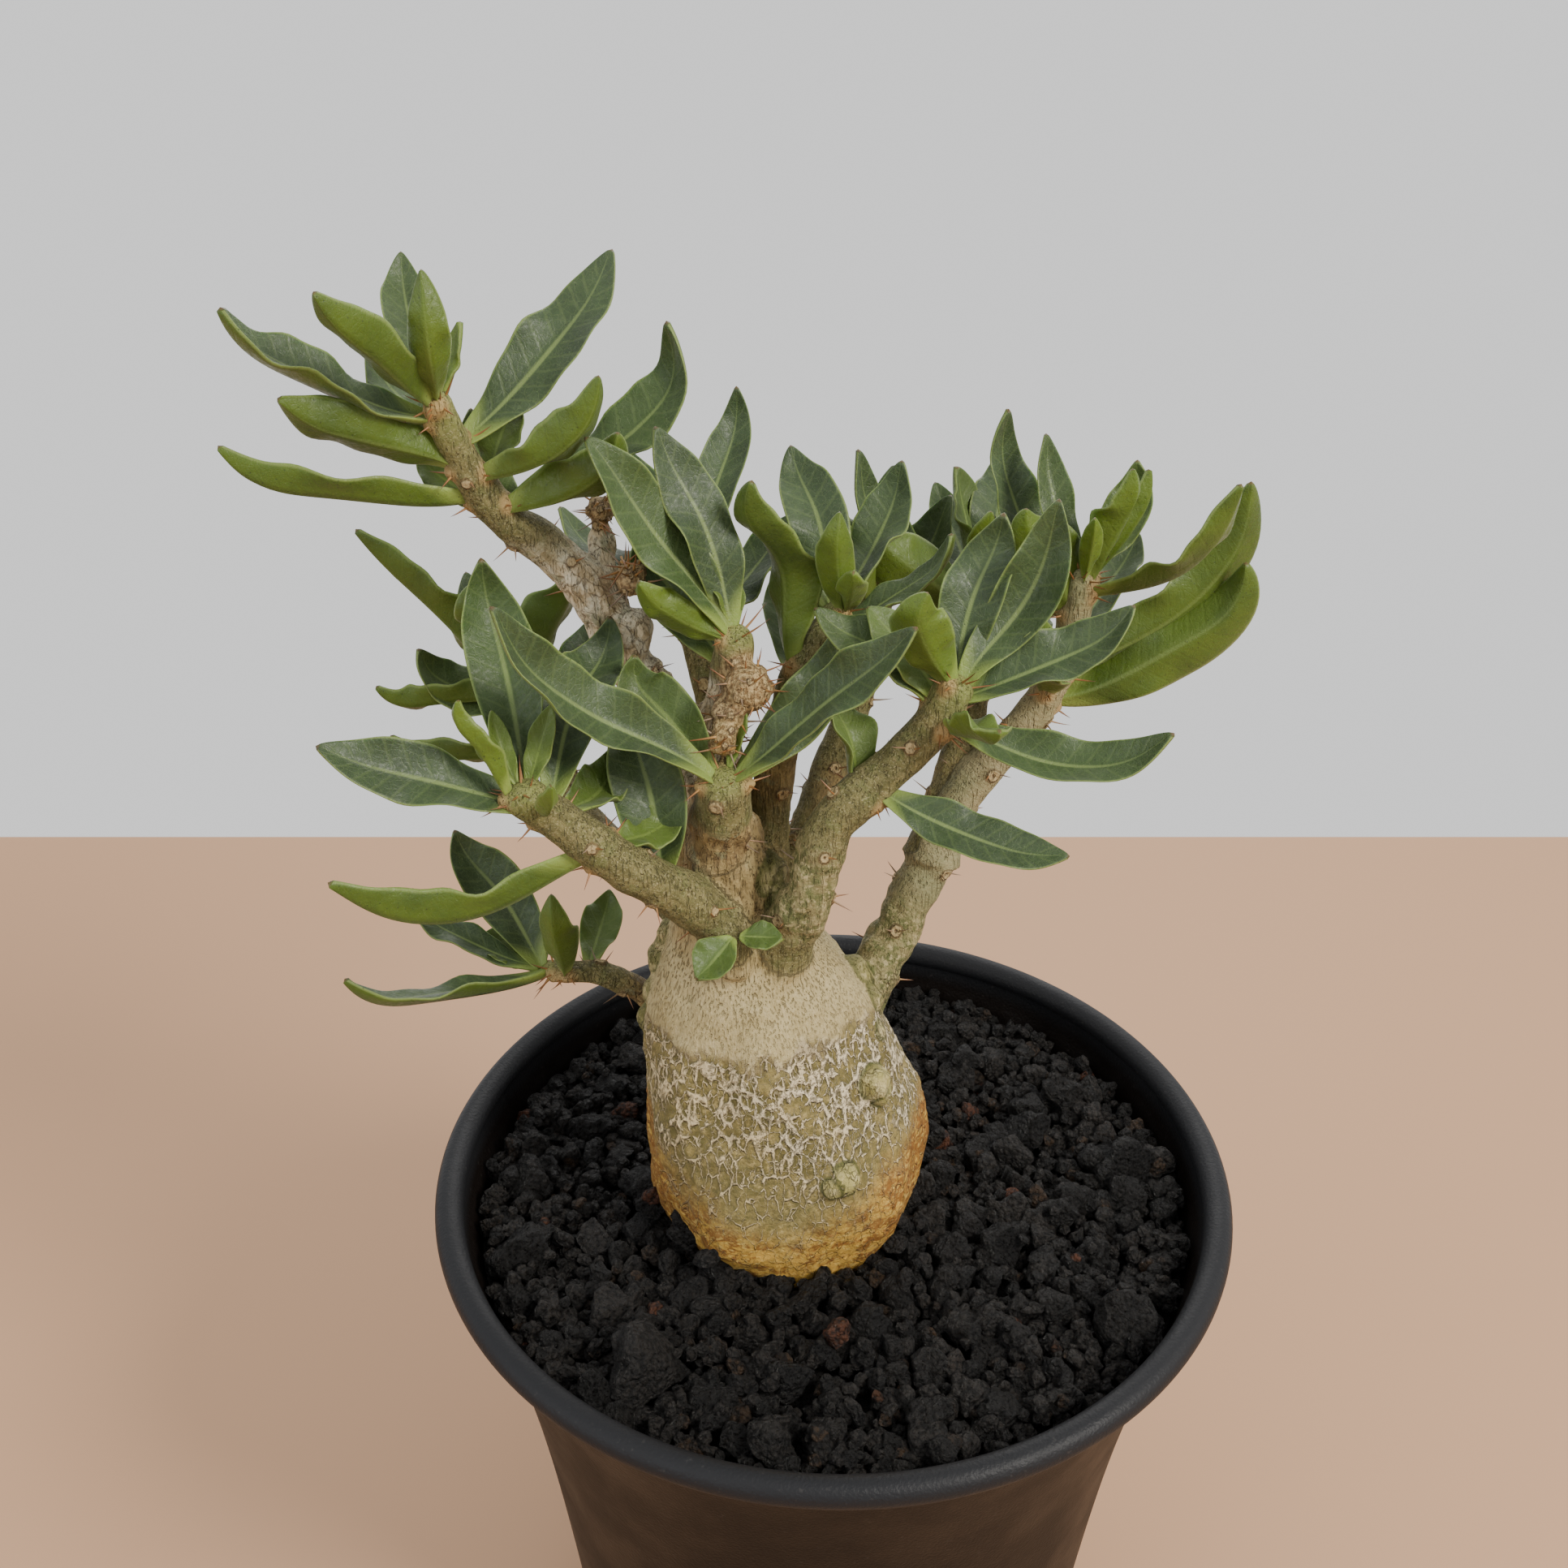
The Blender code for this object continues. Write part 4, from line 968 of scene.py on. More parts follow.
    def relief(self):
        """How far each point is moved along its normal, in millimetres."""
        points = self.points
        relief = 0.16 * lattice_noise(points, 4.5, 5) + 0.10 * lattice_noise(points, 1.9, 6)
        relief += self.caudex_relief() + self.limb_relief()
        relief += np.where(self.leafy > 0, 0.0, self.ring * 0.3) * (1 - 0.7 * self.onto)
        relief += self.onto_knob * 0.35 * lattice_noise(points, 1.3, 23)
        lumps = 0.5 * lattice_noise(points, 2.4, 13) + 0.3 * lattice_noise(points, 1.3, 22)
        return relief + self.rough * lumps


def build_bark(context):
    """The joined skin, moved along its normals by the relief of each kind of bark, with its fields."""
    settings = context.scene.pachypodium_bark
    scars = scar_places()
    points, faces = one_skin(*join_shells(bark_shells(scars)), settings.grain)
    points = smoothed(points, faces, SMOOTH_ROUNDS)
    skin = SkinFields(points, scars)
    points = points + point_normals(points, faces) * (settings.relief * skin.relief())[:, None]
    fields = {
        "kind": np.column_stack([skin.onto, skin.aged, np.clip(skin.share, 0, 1)]),
        "marks": np.column_stack([skin.cushion, np.clip(skin.gap, 0, 4), skin.moss]),
        "zones": np.column_stack([skin.upper, skin.trunk, lattice_noise(points, 7.0, 14)]),
        "straight": np.where(skin.onto[:, None] > 0.5, points, skin.straight),
        "tints": np.column_stack([skin.silver, (skin.leafy == 0) * (1 - skin.onto), skin.rough]),
        "wood": np.column_stack([skin.woody, skin.pale, skin.onto_knob]),
    }
    bark = new_piece("bark_skin", points, faces, BarkFinish(settings).material, fields)
    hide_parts("caudex")


# Tones of the bark beside those in its settings
PALE_STREAK = (0.60, 0.50, 0.31)
DASH_AND_SHADE = (0.13, 0.10, 0.045)
WORN = (0.24, 0.19, 0.095)
NET_LINE_SHADE = (0.090, 0.075, 0.022)
MOTTLE_LIGHT = (0.44, 0.34, 0.145)
MOTTLE_DARK = (0.115, 0.10, 0.030)
AMBER_HIGHLIGHT = (0.66, 0.47, 0.14)
SEAM_DARK_AND_SHADE = (0.17, 0.12, 0.06)
TRUNK_CRACK = (0.13, 0.085, 0.032)
TRUNK_GREEN = (0.22, 0.20, 0.085)
YOUNG_SPECKLE = (0.33, 0.28, 0.14)
YOUNG_TIP = (0.22, 0.26, 0.06)
YOUNG_FOLD = (0.38, 0.31, 0.155)
YOUNG_CREASE_SHADE = (0.09, 0.085, 0.030)
YOUNG_MOSS = (0.125, 0.135, 0.042)
YOUNG_STIPPLE = (0.36, 0.33, 0.19)
TAN_STREAK = (0.19, 0.13, 0.055)
OLD_STREAK = (0.42, 0.33, 0.19)
OLD_PATCH = (0.74, 0.68, 0.51)
OLD_GREEN = (0.24, 0.25, 0.14)
SILVER = (0.24, 0.235, 0.12)
SILVER_WARM = (0.33, 0.285, 0.155)
SILVER_SPECKLE = (0.21, 0.17, 0.085)
LUMPY_GREEN = (0.10, 0.11, 0.034)
LUMPY_TAN = (0.26, 0.22, 0.10)
LUMPY_HIGHLIGHT = (0.46, 0.38, 0.20)
HEAD_BROWN = (0.17, 0.095, 0.036)
HEAD_TAN = (0.46, 0.33, 0.16)
KNOB_FOOT = (0.09, 0.095, 0.022)
KNOB_TOP = (0.42, 0.37, 0.125)
KNOB_CREAM = (0.56, 0.47, 0.24)
KNOB_OLIVE = (0.24, 0.22, 0.08)
SCAR_OUTLINE = (0.12, 0.07, 0.028)
SCAR_DISC = (0.48, 0.36, 0.185)
SCAR_PIT = (0.095, 0.052, 0.022)


class BarkFinish(Finish):
    """The bark. The kind field holds how far a point is on the caudex, its weathering and its place along a
    limb; marks holds leaf cushions, the distance from a scar and moss; zones holds the upper bark, the
    trunk and a slow noise; tints holds silver bark, wood with scars and lumpy bark; wood holds woody heads,
    pale branches and knobs; straight is the place on the limb with the limb straightened out."""

    def __init__(self, settings):
        super().__init__("bark")
        self.settings = settings
        self.onto, self.aged, self.share = self.field("kind")
        self.cushion, self.gap, self.moss = self.field("marks")
        self.upper, self.trunk, self.drift = self.field("zones")
        self.silver, self.scarred, self.lumpy = self.field("tints")
        self.woody, self.pale, self.knobby = self.field("wood")
        self.straight = self.vector_field("straight")
        self.place = self.millimetres()
        self.east, self.height = self.parts(self.place)[::2]
        self.fine = self.noise(self.place, 0.5, 5.0, 0.65)
        self.broad = self.noise(self.bend(self.place, 6.0, 3.0), 6.0, 4.0, 0.6)
        breaks = self.band(self.noise(self.place, 2.6, 3.0, 0.6), 0.36, 0.56)
        falling = self.plus(self.height, self.times(self.drift, 5.0))
        self.falling = self.band(falling, 108.0, 132.0)
        self.breaks = self.math("MAXIMUM", self.times(breaks, self.band(self.falling, 0, 1, 0.55, 1.2)), 0.05)

        colour = self.mix(self.onto, self.limb_bark(), self.caudex_bark())
        colour = self.swollen(colour)
        colour = self.scars(colour)
        self.set(Base_Color=colour, Roughness=self.band(self.fine, 0.3, 0.7, 0.62, 0.85), IOR=1.4)
        heights = (
            self.times(self.fine, 0.5),
            self.times(self.net, self.rest(self.upper), 1.3),
            self.times(self.math("SUBTRACT", self.disc, self.pit), 0.7),
            self.times(self.dashes, self.times(self.upper, -0.8)),
            self.times(self.streak, 0.6),
            self.times(self.wrinkles, self.rest(self.onto), 0.45),
        )
        self.relief(self.plus(*heights), 0.55)

    def upper_bark(self):
        """Grey-tan bark with fine dark upright dashes, pressed in and painted dark partly as painted shade in
        them, paler streaks and worn spots.
        """
        drawn_out = self.stretch(self.bend(self.place, 3.0, 0.6), (1, 1, 0.06))
        long_dashes = self.noise(drawn_out, 0.29, 1.5, 0.5)
        shown = self.band(self.height, 138.0, 149.0, 0.45, 1.0)
        self.dashes = self.times(self.band(long_dashes, 0.55, 0.68), shown)
        colour = self.mix(self.band(self.broad, 0.35, 0.7), self.settings.upper, self.settings.upper_warm)
        colour = self.paint(colour, PALE_STREAK, self.band(long_dashes, 0.46, 0.34), 0.25)
        # Partly painted shade: the dashes are pressed in by the relief, and their dark paint is partly their
        # own colour and partly the shade in those fine wrinkles.
        colour = self.paint(colour, DASH_AND_SHADE, self.dashes, 0.65)
        worn = self.noise(self.place, 0.7, 4.0, 0.7)
        return self.paint(colour, WORN, self.band(worn, 0.54, 0.68, 0.0, 0.4))

    def net_bark(self):
        """Olive ground under two layers of wavy upright cell edges, cream and broken, with painted shade
        beside them.
        """
        wavy = self.bend(self.bend(self.place, 2.6, 1.5), 0.8, 0.45)
        first = self.cells(self.stretch(wavy, (1, 1, 0.42)), 1.6, "DISTANCE_TO_EDGE")
        wavier = self.bend(self.bend(self.place, 1.7, 1.5), 0.5, 0.3)
        second = self.cells(self.stretch(wavier, (1.2, 1.2, 0.5)), 1.15, "DISTANCE_TO_EDGE")
        first_width = self.times(self.breaks, self.band(self.falling, 0.2, 1.0, 0.10, 0.150))
        second_width = self.times(self.breaks, self.band(self.falling, 0.1, 0.9, 0.014, 0.062))
        first_lines = self.math("DIVIDE", first, first_width)
        lines = self.math("MINIMUM", first_lines, self.math("DIVIDE", second, second_width))
        self.net = self.times(self.band(lines, 1.15, 0.35), self.band(self.fine, 0.34, 0.48, 0.6, 1.0))
        colour = self.mix(self.band(self.broad, 0.35, 0.65), self.settings.olive, self.settings.olive_dark)
        # Painted shade: the ground is darkened right beside each raised line, where the lines would cast
        # shade.
        beside = self.band(lines, 3.0, 1.0)
        colour = self.paint(colour, NET_LINE_SHADE, beside, self.band(self.falling, 0.1, 0.9, 0.3, 0.95))
        mottle = self.noise(self.place, 0.9, 4.0, 0.65)
        colour = self.paint(colour, MOTTLE_LIGHT, self.band(mottle, 0.52, 0.68, 0.0, 0.6))
        colour = self.paint(colour, MOTTLE_DARK, self.band(mottle, 0.47, 0.36, 0.0, 0.75))
        # Painted light: the lines turn whiter towards the right of the caudex, the side the key light falls
        # on; they also pale with the broad noise and nearer the seam.
        painted_light_to_right = self.times(self.plus(self.east, 6.0), 0.010)
        paler = self.band(self.plus(self.broad, painted_light_to_right, self.times(self.falling, 0.3)), 0.5, 0.95)
        return self.paint(colour, self.mix(paler, self.settings.net, self.settings.net_white), self.net, 0.9)

    def amber_base(self, ground):
        """Amber and rust over the ground, with painted highlights in pale amber, from a wandering level that
        is lower in the middle.
        """
        aside = self.plus(self.east, 6.0)
        lift = self.math("SUBTRACT", self.height, self.times(aside, aside, 0.026))
        lift = self.plus(lift, self.times(self.drift, 4.0))
        lift = self.plus(lift, self.times(self.noise(self.place, 2.4, 4.0, 0.6), 7.0))
        creased = self.stretch(self.bend(self.place, 3.0, 2.0), (1, 1, 1.7))
        far = self.times(self.math("ABSOLUTE", aside), 0.008)
        patches = self.band(self.plus(self.noise(creased, 2.6, 5.0, 0.65), far), 0.5, 0.64)
        colour = self.mix(patches, self.settings.amber, self.settings.rust)
        bright = self.noise(creased, 1.0, 4.0, 0.7)
        # Painted highlight: pale amber flecks on the base, scattered by noise.
        colour = self.paint(colour, AMBER_HIGHLIGHT, self.band(bright, 0.5, 0.66, 0.0, 0.7))
        return self.paint(ground, colour, self.band(lift, 117.0, 105.0), 0.94)

    def caudex_bark(self):
        """The net and its amber base, the upper bark over a torn edge painted dark, partly dark bark and
        partly painted shade under its lip, and the fibrous trunk.
        """
        colour = self.mix(self.upper, self.amber_base(self.net_bark()), self.upper_bark())
        # Partly painted shade: the dark band along the seam stands for the torn edge's own dark bark and the
        # shade under its lip.
        edge = (self.band(self.upper, 0.0, 0.25), self.band(self.upper, 0.75, 0.45))
        colour = self.paint(colour, SEAM_DARK_AND_SHADE, *edge, self.band(self.breaks, 0.2, 0.9, 0.0, 0.4))
        fibres = self.stretch(self.bend(self.place, 1.5, 1.2), (1, 1, 0.25))
        fibre = self.band(self.noise(fibres, 0.9, 4.0, 0.65), 0.34, 0.52)
        trunk_bark = self.mix(fibre, TRUNK_CRACK, self.settings.trunk)
        trunk_bark = self.paint(trunk_bark, TRUNK_GREEN, self.band(self.broad, 0.5, 0.7), 0.5)
        return self.mix(self.trunk, colour, trunk_bark)

    def young_bark(self):
        """Grey-green bark with streaks, specks, wrinkles across it with painted shade in their creases, and
        moss, greener at the tip.
        """
        colour = self.mix(self.band(self.streak, 0.38, 0.62), self.settings.young, self.settings.young_dark)
        colour = self.paint(colour, YOUNG_SPECKLE, self.speckle, 0.5)
        colour = self.paint(colour, YOUNG_TIP, self.band(self.share, 0.86, 1.0), 0.55)
        colour = self.paint(colour, YOUNG_FOLD, self.band(self.wrinkles, 0.56, 0.68, 0.0, 0.25))
        # Painted shade: the troughs of the wrinkles, which the relief presses in, are painted darker.
        colour = self.paint(colour, YOUNG_CREASE_SHADE, self.band(self.wrinkles, 0.42, 0.32, 0.0, 0.35))
        mossy = self.noise(self.bend(self.straight, 2.0, 2.0), 2.8, 3.0, 0.6)
        colour = self.paint(colour, YOUNG_MOSS, self.band(mossy, 0.52, 0.66, 0.0, 0.6))
        stipple = self.noise(self.straight, 0.22, 2.0, 0.5)
        return self.paint(colour, YOUNG_STIPPLE, self.band(stipple, 0.56, 0.68, 0.0, 0.45))

    def old_bark(self):
        """Tan bark, or on the pale branches bleached wood with patches, greenish in places and cracked."""
        tan = self.mix(self.band(self.streak, 0.40, 0.60), self.settings.trunk, TAN_STREAK)
        colour = self.mix(self.band(self.streak, 0.42, 0.62), self.settings.old_wood, OLD_STREAK)
        patch = self.noise(self.straight, 2.6, 3.0, 0.55)
        colour = self.paint(colour, OLD_PATCH, self.band(patch, 0.46, 0.56), 0.8)
        colour = self.mix(self.pale, tan, colour)
        greenish = self.noise(self.bend(self.straight, 3.0, 3.0), 3.4, 3.0, 0.55)
        colour = self.paint(colour, OLD_GREEN, self.band(greenish, 0.56, 0.64), 0.65)
        drawn_out = self.stretch(self.bend(self.straight, 1.6, 1.6), (1, 1, 0.45))
        cracks = self.band(self.cells(drawn_out, 1.9, "DISTANCE_TO_EDGE"), 0.06, 0.0)
        return self.paint(colour, self.settings.fissure, cracks, self.band(self.breaks, 0.3, 0.7, 0.0, 0.65))

    def limb_bark(self):
        """Young bark that turns old with weathering, and the silver bark of the right branch."""
        self.speckle = self.band(self.noise(self.straight, 0.38, 3.0, 0.6), 0.56, 0.68)
        self.streak = self.noise(self.stretch(self.straight, (1, 1, 0.4)), 1.1, 4.0, 0.65)
        folds = self.stretch(self.bend(self.straight, 1.5, 0.8), (0.3, 0.3, 1.2))
        self.wrinkles = self.noise(folds, 0.8, 3.0, 0.6)
        age = self.band(self.plus(self.aged, self.times(self.drift, 0.2)), 0.25, 0.6)
        colour = self.mix(age, self.young_bark(), self.old_bark())
        silver = self.mix(self.band(self.broad, 0.35, 0.65), SILVER, SILVER_WARM)
        silver = self.paint(silver, SILVER_SPECKLE, self.speckle, 0.4)
        return self.paint(colour, silver, self.silver, 0.85)

    def swollen(self, colour):
        """Lumpy green-tan bark with pale painted highlights, brown woody heads, and mossy knobs with a cream
        crown.
        """
        tone = self.mix(self.band(self.noise(self.place, 1.7, 4.0, 0.65), 0.40, 0.60), LUMPY_GREEN, LUMPY_TAN)
        small = self.noise(self.place, 0.8, 4.0, 0.65)
        # Painted highlight: pale flecks laid by noise stand for light on the lumps' crests.
        tone = self.paint(tone, LUMPY_HIGHLIGHT, self.band(small, 0.50, 0.64, 0.0, 0.75))
        colour = self.paint(colour, tone, self.lumpy, 0.85)
        head = self.mix(self.band(small, 0.40, 0.60), HEAD_BROWN, HEAD_TAN)
        colour = self.paint(colour, head, self.woody, 0.9)
        knob = self.mix(self.band(self.moss, 0.45, 0.95), KNOB_FOOT, KNOB_TOP)
        crown = self.band(self.noise(self.place, 1.5, 3.0, 0.6), 0.42, 0.60)
        knob = self.paint(knob, KNOB_CREAM, crown, self.band(self.knobby, 0.6, 1.0, 0.0, 0.7))
        knob = self.paint(knob, KNOB_OLIVE, self.band(self.fine, 0.5, 0.7), 0.4)
        return self.paint(colour, knob, self.band(self.moss, 0.02, 0.35), 0.85)

    def scars(self, colour):
        """Leaf cushions, and each old scar as a tan disc with a dark outline and a dark pit."""
        colour = self.paint(colour, self.settings.cushion, self.cushion, 0.7)
        apart = self.plus(self.gap, self.times(self.noise(self.place, 0.8, 3.0, 0.6), 0.6))
        outline = (self.band(apart, 1.60, 1.40), self.band(apart, 1.10, 1.25), self.scarred)
        self.disc = self.times(self.band(apart, 1.30, 1.10), self.scarred)
        self.pit = self.times(self.band(apart, 0.74, 0.54), self.scarred)
        colour = self.paint(colour, SCAR_OUTLINE, *outline, 0.65)
        colour = self.paint(colour, SCAR_DISC, self.disc, 0.75)
        return self.paint(colour, SCAR_PIT, self.pit, 0.85)


# Leaves

LEAF_ROWS = 38
LEAF_COLUMNS = 13
LEAF_FINE = 88  # steps that a midrib is worked out in
ROUTE_STEPS = 400  # steps along a stem that a leaf's station is read from
FIRST_LEAF_SEED = 100
SPROUT_SEED = 99
SPROUT_WAVE = 0.12
SPROUT_LOOK = (1.3, 0.25)  # the sprout's tone and youth
# How much each leaf strays from its plain arc: swing, hook, sway and twist, in radians
STRAY = np.array([0.16, 0.25, 0.25, 0.22])
HOOK = 0.60  # turn of every leaf's tip
YOUNG_CALM = 0.3  # how much of both a young leaf has


def leaf_root(branch, leaf):
    """A leaf starts inside the stem, on the side that it grows from."""
    station = min(leaf.station, LAST_STATION)
    heading = np.radians(leaf.heading)
    inside = 0.45 * np.interp(station, [0, 1], branch.radii)
    middle = smooth_route(branch.route, ROUTE_STEPS + 1)[int(round(station * ROUTE_STEPS))]
    return middle + inside * np.array([np.cos(heading), np.sin(heading), 0])


def leaf_axes(leaf):
    """Unit vectors of a leaf: along its chord, level across it, and square to both on its upper side."""
    heading, rise = np.radians([leaf.heading, leaf.rise])
    chord = np.array([np.cos(rise) * np.cos(heading), np.cos(rise) * np.sin(heading), np.sin(rise)])
    sky = np.array([-np.sin(rise) * np.cos(heading), -np.sin(rise) * np.sin(heading), np.cos(rise)])
    return np.stack([chord, np.cross(sky, chord), sky])


def midrib(leaf, swing, hook, sway):
    """Places and directions along a midrib that turns by curl, sways like an S, hooks at its tip and bends
    sideways. It is turned and scaled so that its tip stays where a plain arc of the same curl would end."""
    share = np.linspace(0, 1, LEAF_FINE + 1)
    arc = np.radians(leaf.curl) * (share - 0.5)
    lift = arc + swing * np.sin(2 * np.pi * share) + hook * smooth_step(share, 0.62, 1.0)
    slew = sway * (share - 0.5)
    way = np.stack([np.cos(lift) * np.cos(slew), np.cos(lift) * np.sin(slew), np.sin(lift)], axis=1)
    steps = (way[1:] + way[:-1]) * leaf.length / (2 * LEAF_FINE)
    place = np.vstack([np.zeros(3), np.cumsum(steps, axis=0)])
    plain = leaf.length * np.mean(np.cos(arc))
    turn = np.array(Vector(place[-1]).rotation_difference(Vector((1, 0, 0))).to_matrix())
    size = plain / np.linalg.norm(place[-1])
    axes = leaf_axes(leaf)
    return share, place @ turn.T @ axes * size, unit(way @ turn.T @ axes), axes[1]


def blade_section(leaf, wave, s, t, face, draw):
    """Half width of a blade at each place s along it, and the height of each point t across it. The half
    width is a power of a sine along the leaf, each half rises from the midrib as a rounded V, and the
    margin waves. Thickness falls from the midrib to a rounded margin, with a groove above the midrib and a
    rib below it."""
    half = leaf.width / 2 * (np.sin(np.pi * s**1.15) ** 0.72 + 0.2 * (1 - s) ** 6)
    fold = draw.uniform(0.9, 2.0) * (0.55 * (np.sqrt(t**2 + 0.03) - 0.17) - 0.18 * t**2 + 0.10 * t**6)
    phase = draw.uniform(0, 2 * np.pi, 2)[(t > 0).astype(int)]
    count = draw.uniform(1.3, 2.1)
    ripple = np.sin(2 * np.pi * count * s + phase) + 0.45 * np.sin(2 * np.pi * 2.3 * count * s + 2.4 * phase)
    ripple = wave * ripple * np.sin(np.pi * s) * np.abs(t) ** 1.8
    thick = 0.62 + 0.62 * (1 - 0.35 * s) * (1 - np.abs(t)) ** 1.1
    thick = thick * np.sqrt(1 - t**8) * smooth_step(s, -0.3, 0.05)
    groove = np.where(face > 0, 0.10 * np.exp(-((t / 0.10) ** 2)) * (1 - s), 0)
    rib = np.where(face < 0, 0.30 * np.exp(-((t / 0.13) ** 2)) * (1 - s) ** 0.7, 0)
    return half, half * (fold + ripple) + face * thick / 2 - groove - rib


def blade(root, leaf, wave, draw):
    """A closed leaf as rings carried along its midrib. A ring runs over the upper face from margin to
    margin and back under the lower one."""
    calm = YOUNG_CALM if leaf.length < YOUNG_LENGTH else 1.0
    swing, hook, sway, twist = draw.normal(0, 1, 4) * calm * STRAY
    share, path, direction, level = midrib(leaf, swing, hook + HOOK * calm, sway)
    even = np.linspace(0, 1, LEAF_ROWS + 1)
    station = (0.55 * (1 - np.cos(np.linspace(0, np.pi, LEAF_ROWS + 1))) / 2 + 0.45 * even)[:-1]
    middle = columns_at(station, share, path)
    ahead = unit(columns_at(station, share, direction))
    lift = unit(np.cross(ahead, level))
    across = np.cross(lift, ahead)
    roll = (np.radians(leaf.roll) + twist * (station - 0.4))[:, None]
    across, lift = across * np.cos(roll) - lift * np.sin(roll), lift * np.cos(roll) + across * np.sin(roll)

    column = np.sin(np.linspace(np.pi / 2, -np.pi / 2, LEAF_COLUMNS))
    part = np.concatenate([column, column[::-1][1:-1]])
    face = np.concatenate([np.ones(LEAF_COLUMNS), -np.ones(LEAF_COLUMNS - 2)])
    face[[0, LEAF_COLUMNS - 1]] = 0
    s = station[:, None]
    t = part[None]
    half, height = blade_section(leaf, wave, s, t, face, draw)
    rings = middle[:, None] + across[:, None] * (half * t)[..., None] + lift[:, None] * height[..., None]
    points = np.vstack([root + rings.reshape(-1, 3), root + middle[0], root + path[-1]])
    place = np.stack(np.broadcast_arrays(t, s, face[None]), axis=-1).reshape(-1, 3)
    place = np.vstack([place, [0, 0, 0], [0, 1, 0]])
    tone = draw.uniform(0, 1)
    youth = float(np.clip(1.25 - leaf.length / 18, 0, 1))
    look = np.tile([tone, youth, 0.0], (len(points), 1))
    look[:, 2] = place[:, 1] * leaf.length
    return points, ring_faces(len(rings), len(part)), place, look


def leafy_spray(branch, wave, draw):
    """All the leaves of a branch as one shell, with its two fields."""
    made = [blade(leaf_root(branch, leaf), leaf, wave, draw) for leaf in branch.leaves]
    points, faces = join_shells([shell[:2] for shell in made])
    places, looks = (np.vstack([shell[index] for shell in made]) for index in (2, 3))
    return points, faces, {"blade": places, "look": looks}


def build_leaves(context):
    """One spray for each stem, and the sprout's two leaves, which wave less and are brighter."""
    settings = context.scene.pachypodium_leaves
    finish = leaf_finish(settings)
    for number, (name, branch) in enumerate(BRANCHES.items()):
        draw = np.random.default_rng(FIRST_LEAF_SEED + number)
        points, faces, fields = leafy_spray(branch, settings.wave, draw)
        piece = new_piece("leaves_" + name.removeprefix("stem_"), points, faces, finish, fields)
        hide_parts(name)
    sprout = Branch(route=SPROUT_ROUTE, radii=SPROUT_RADII, cut=0, leaves=SPROUT_LEAVES)
    points, faces, fields = leafy_spray(sprout, SPROUT_WAVE, np.random.default_rng(SPROUT_SEED))
    fields["look"][:, :2] = SPROUT_LOOK
    piece = new_piece("sprout_leaves", points, faces, finish, fields)
    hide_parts("sprout")


LEAF_FLECK = (0.20, 0.25, 0.12)
LEAF_DOT = (0.014, 0.024, 0.008)


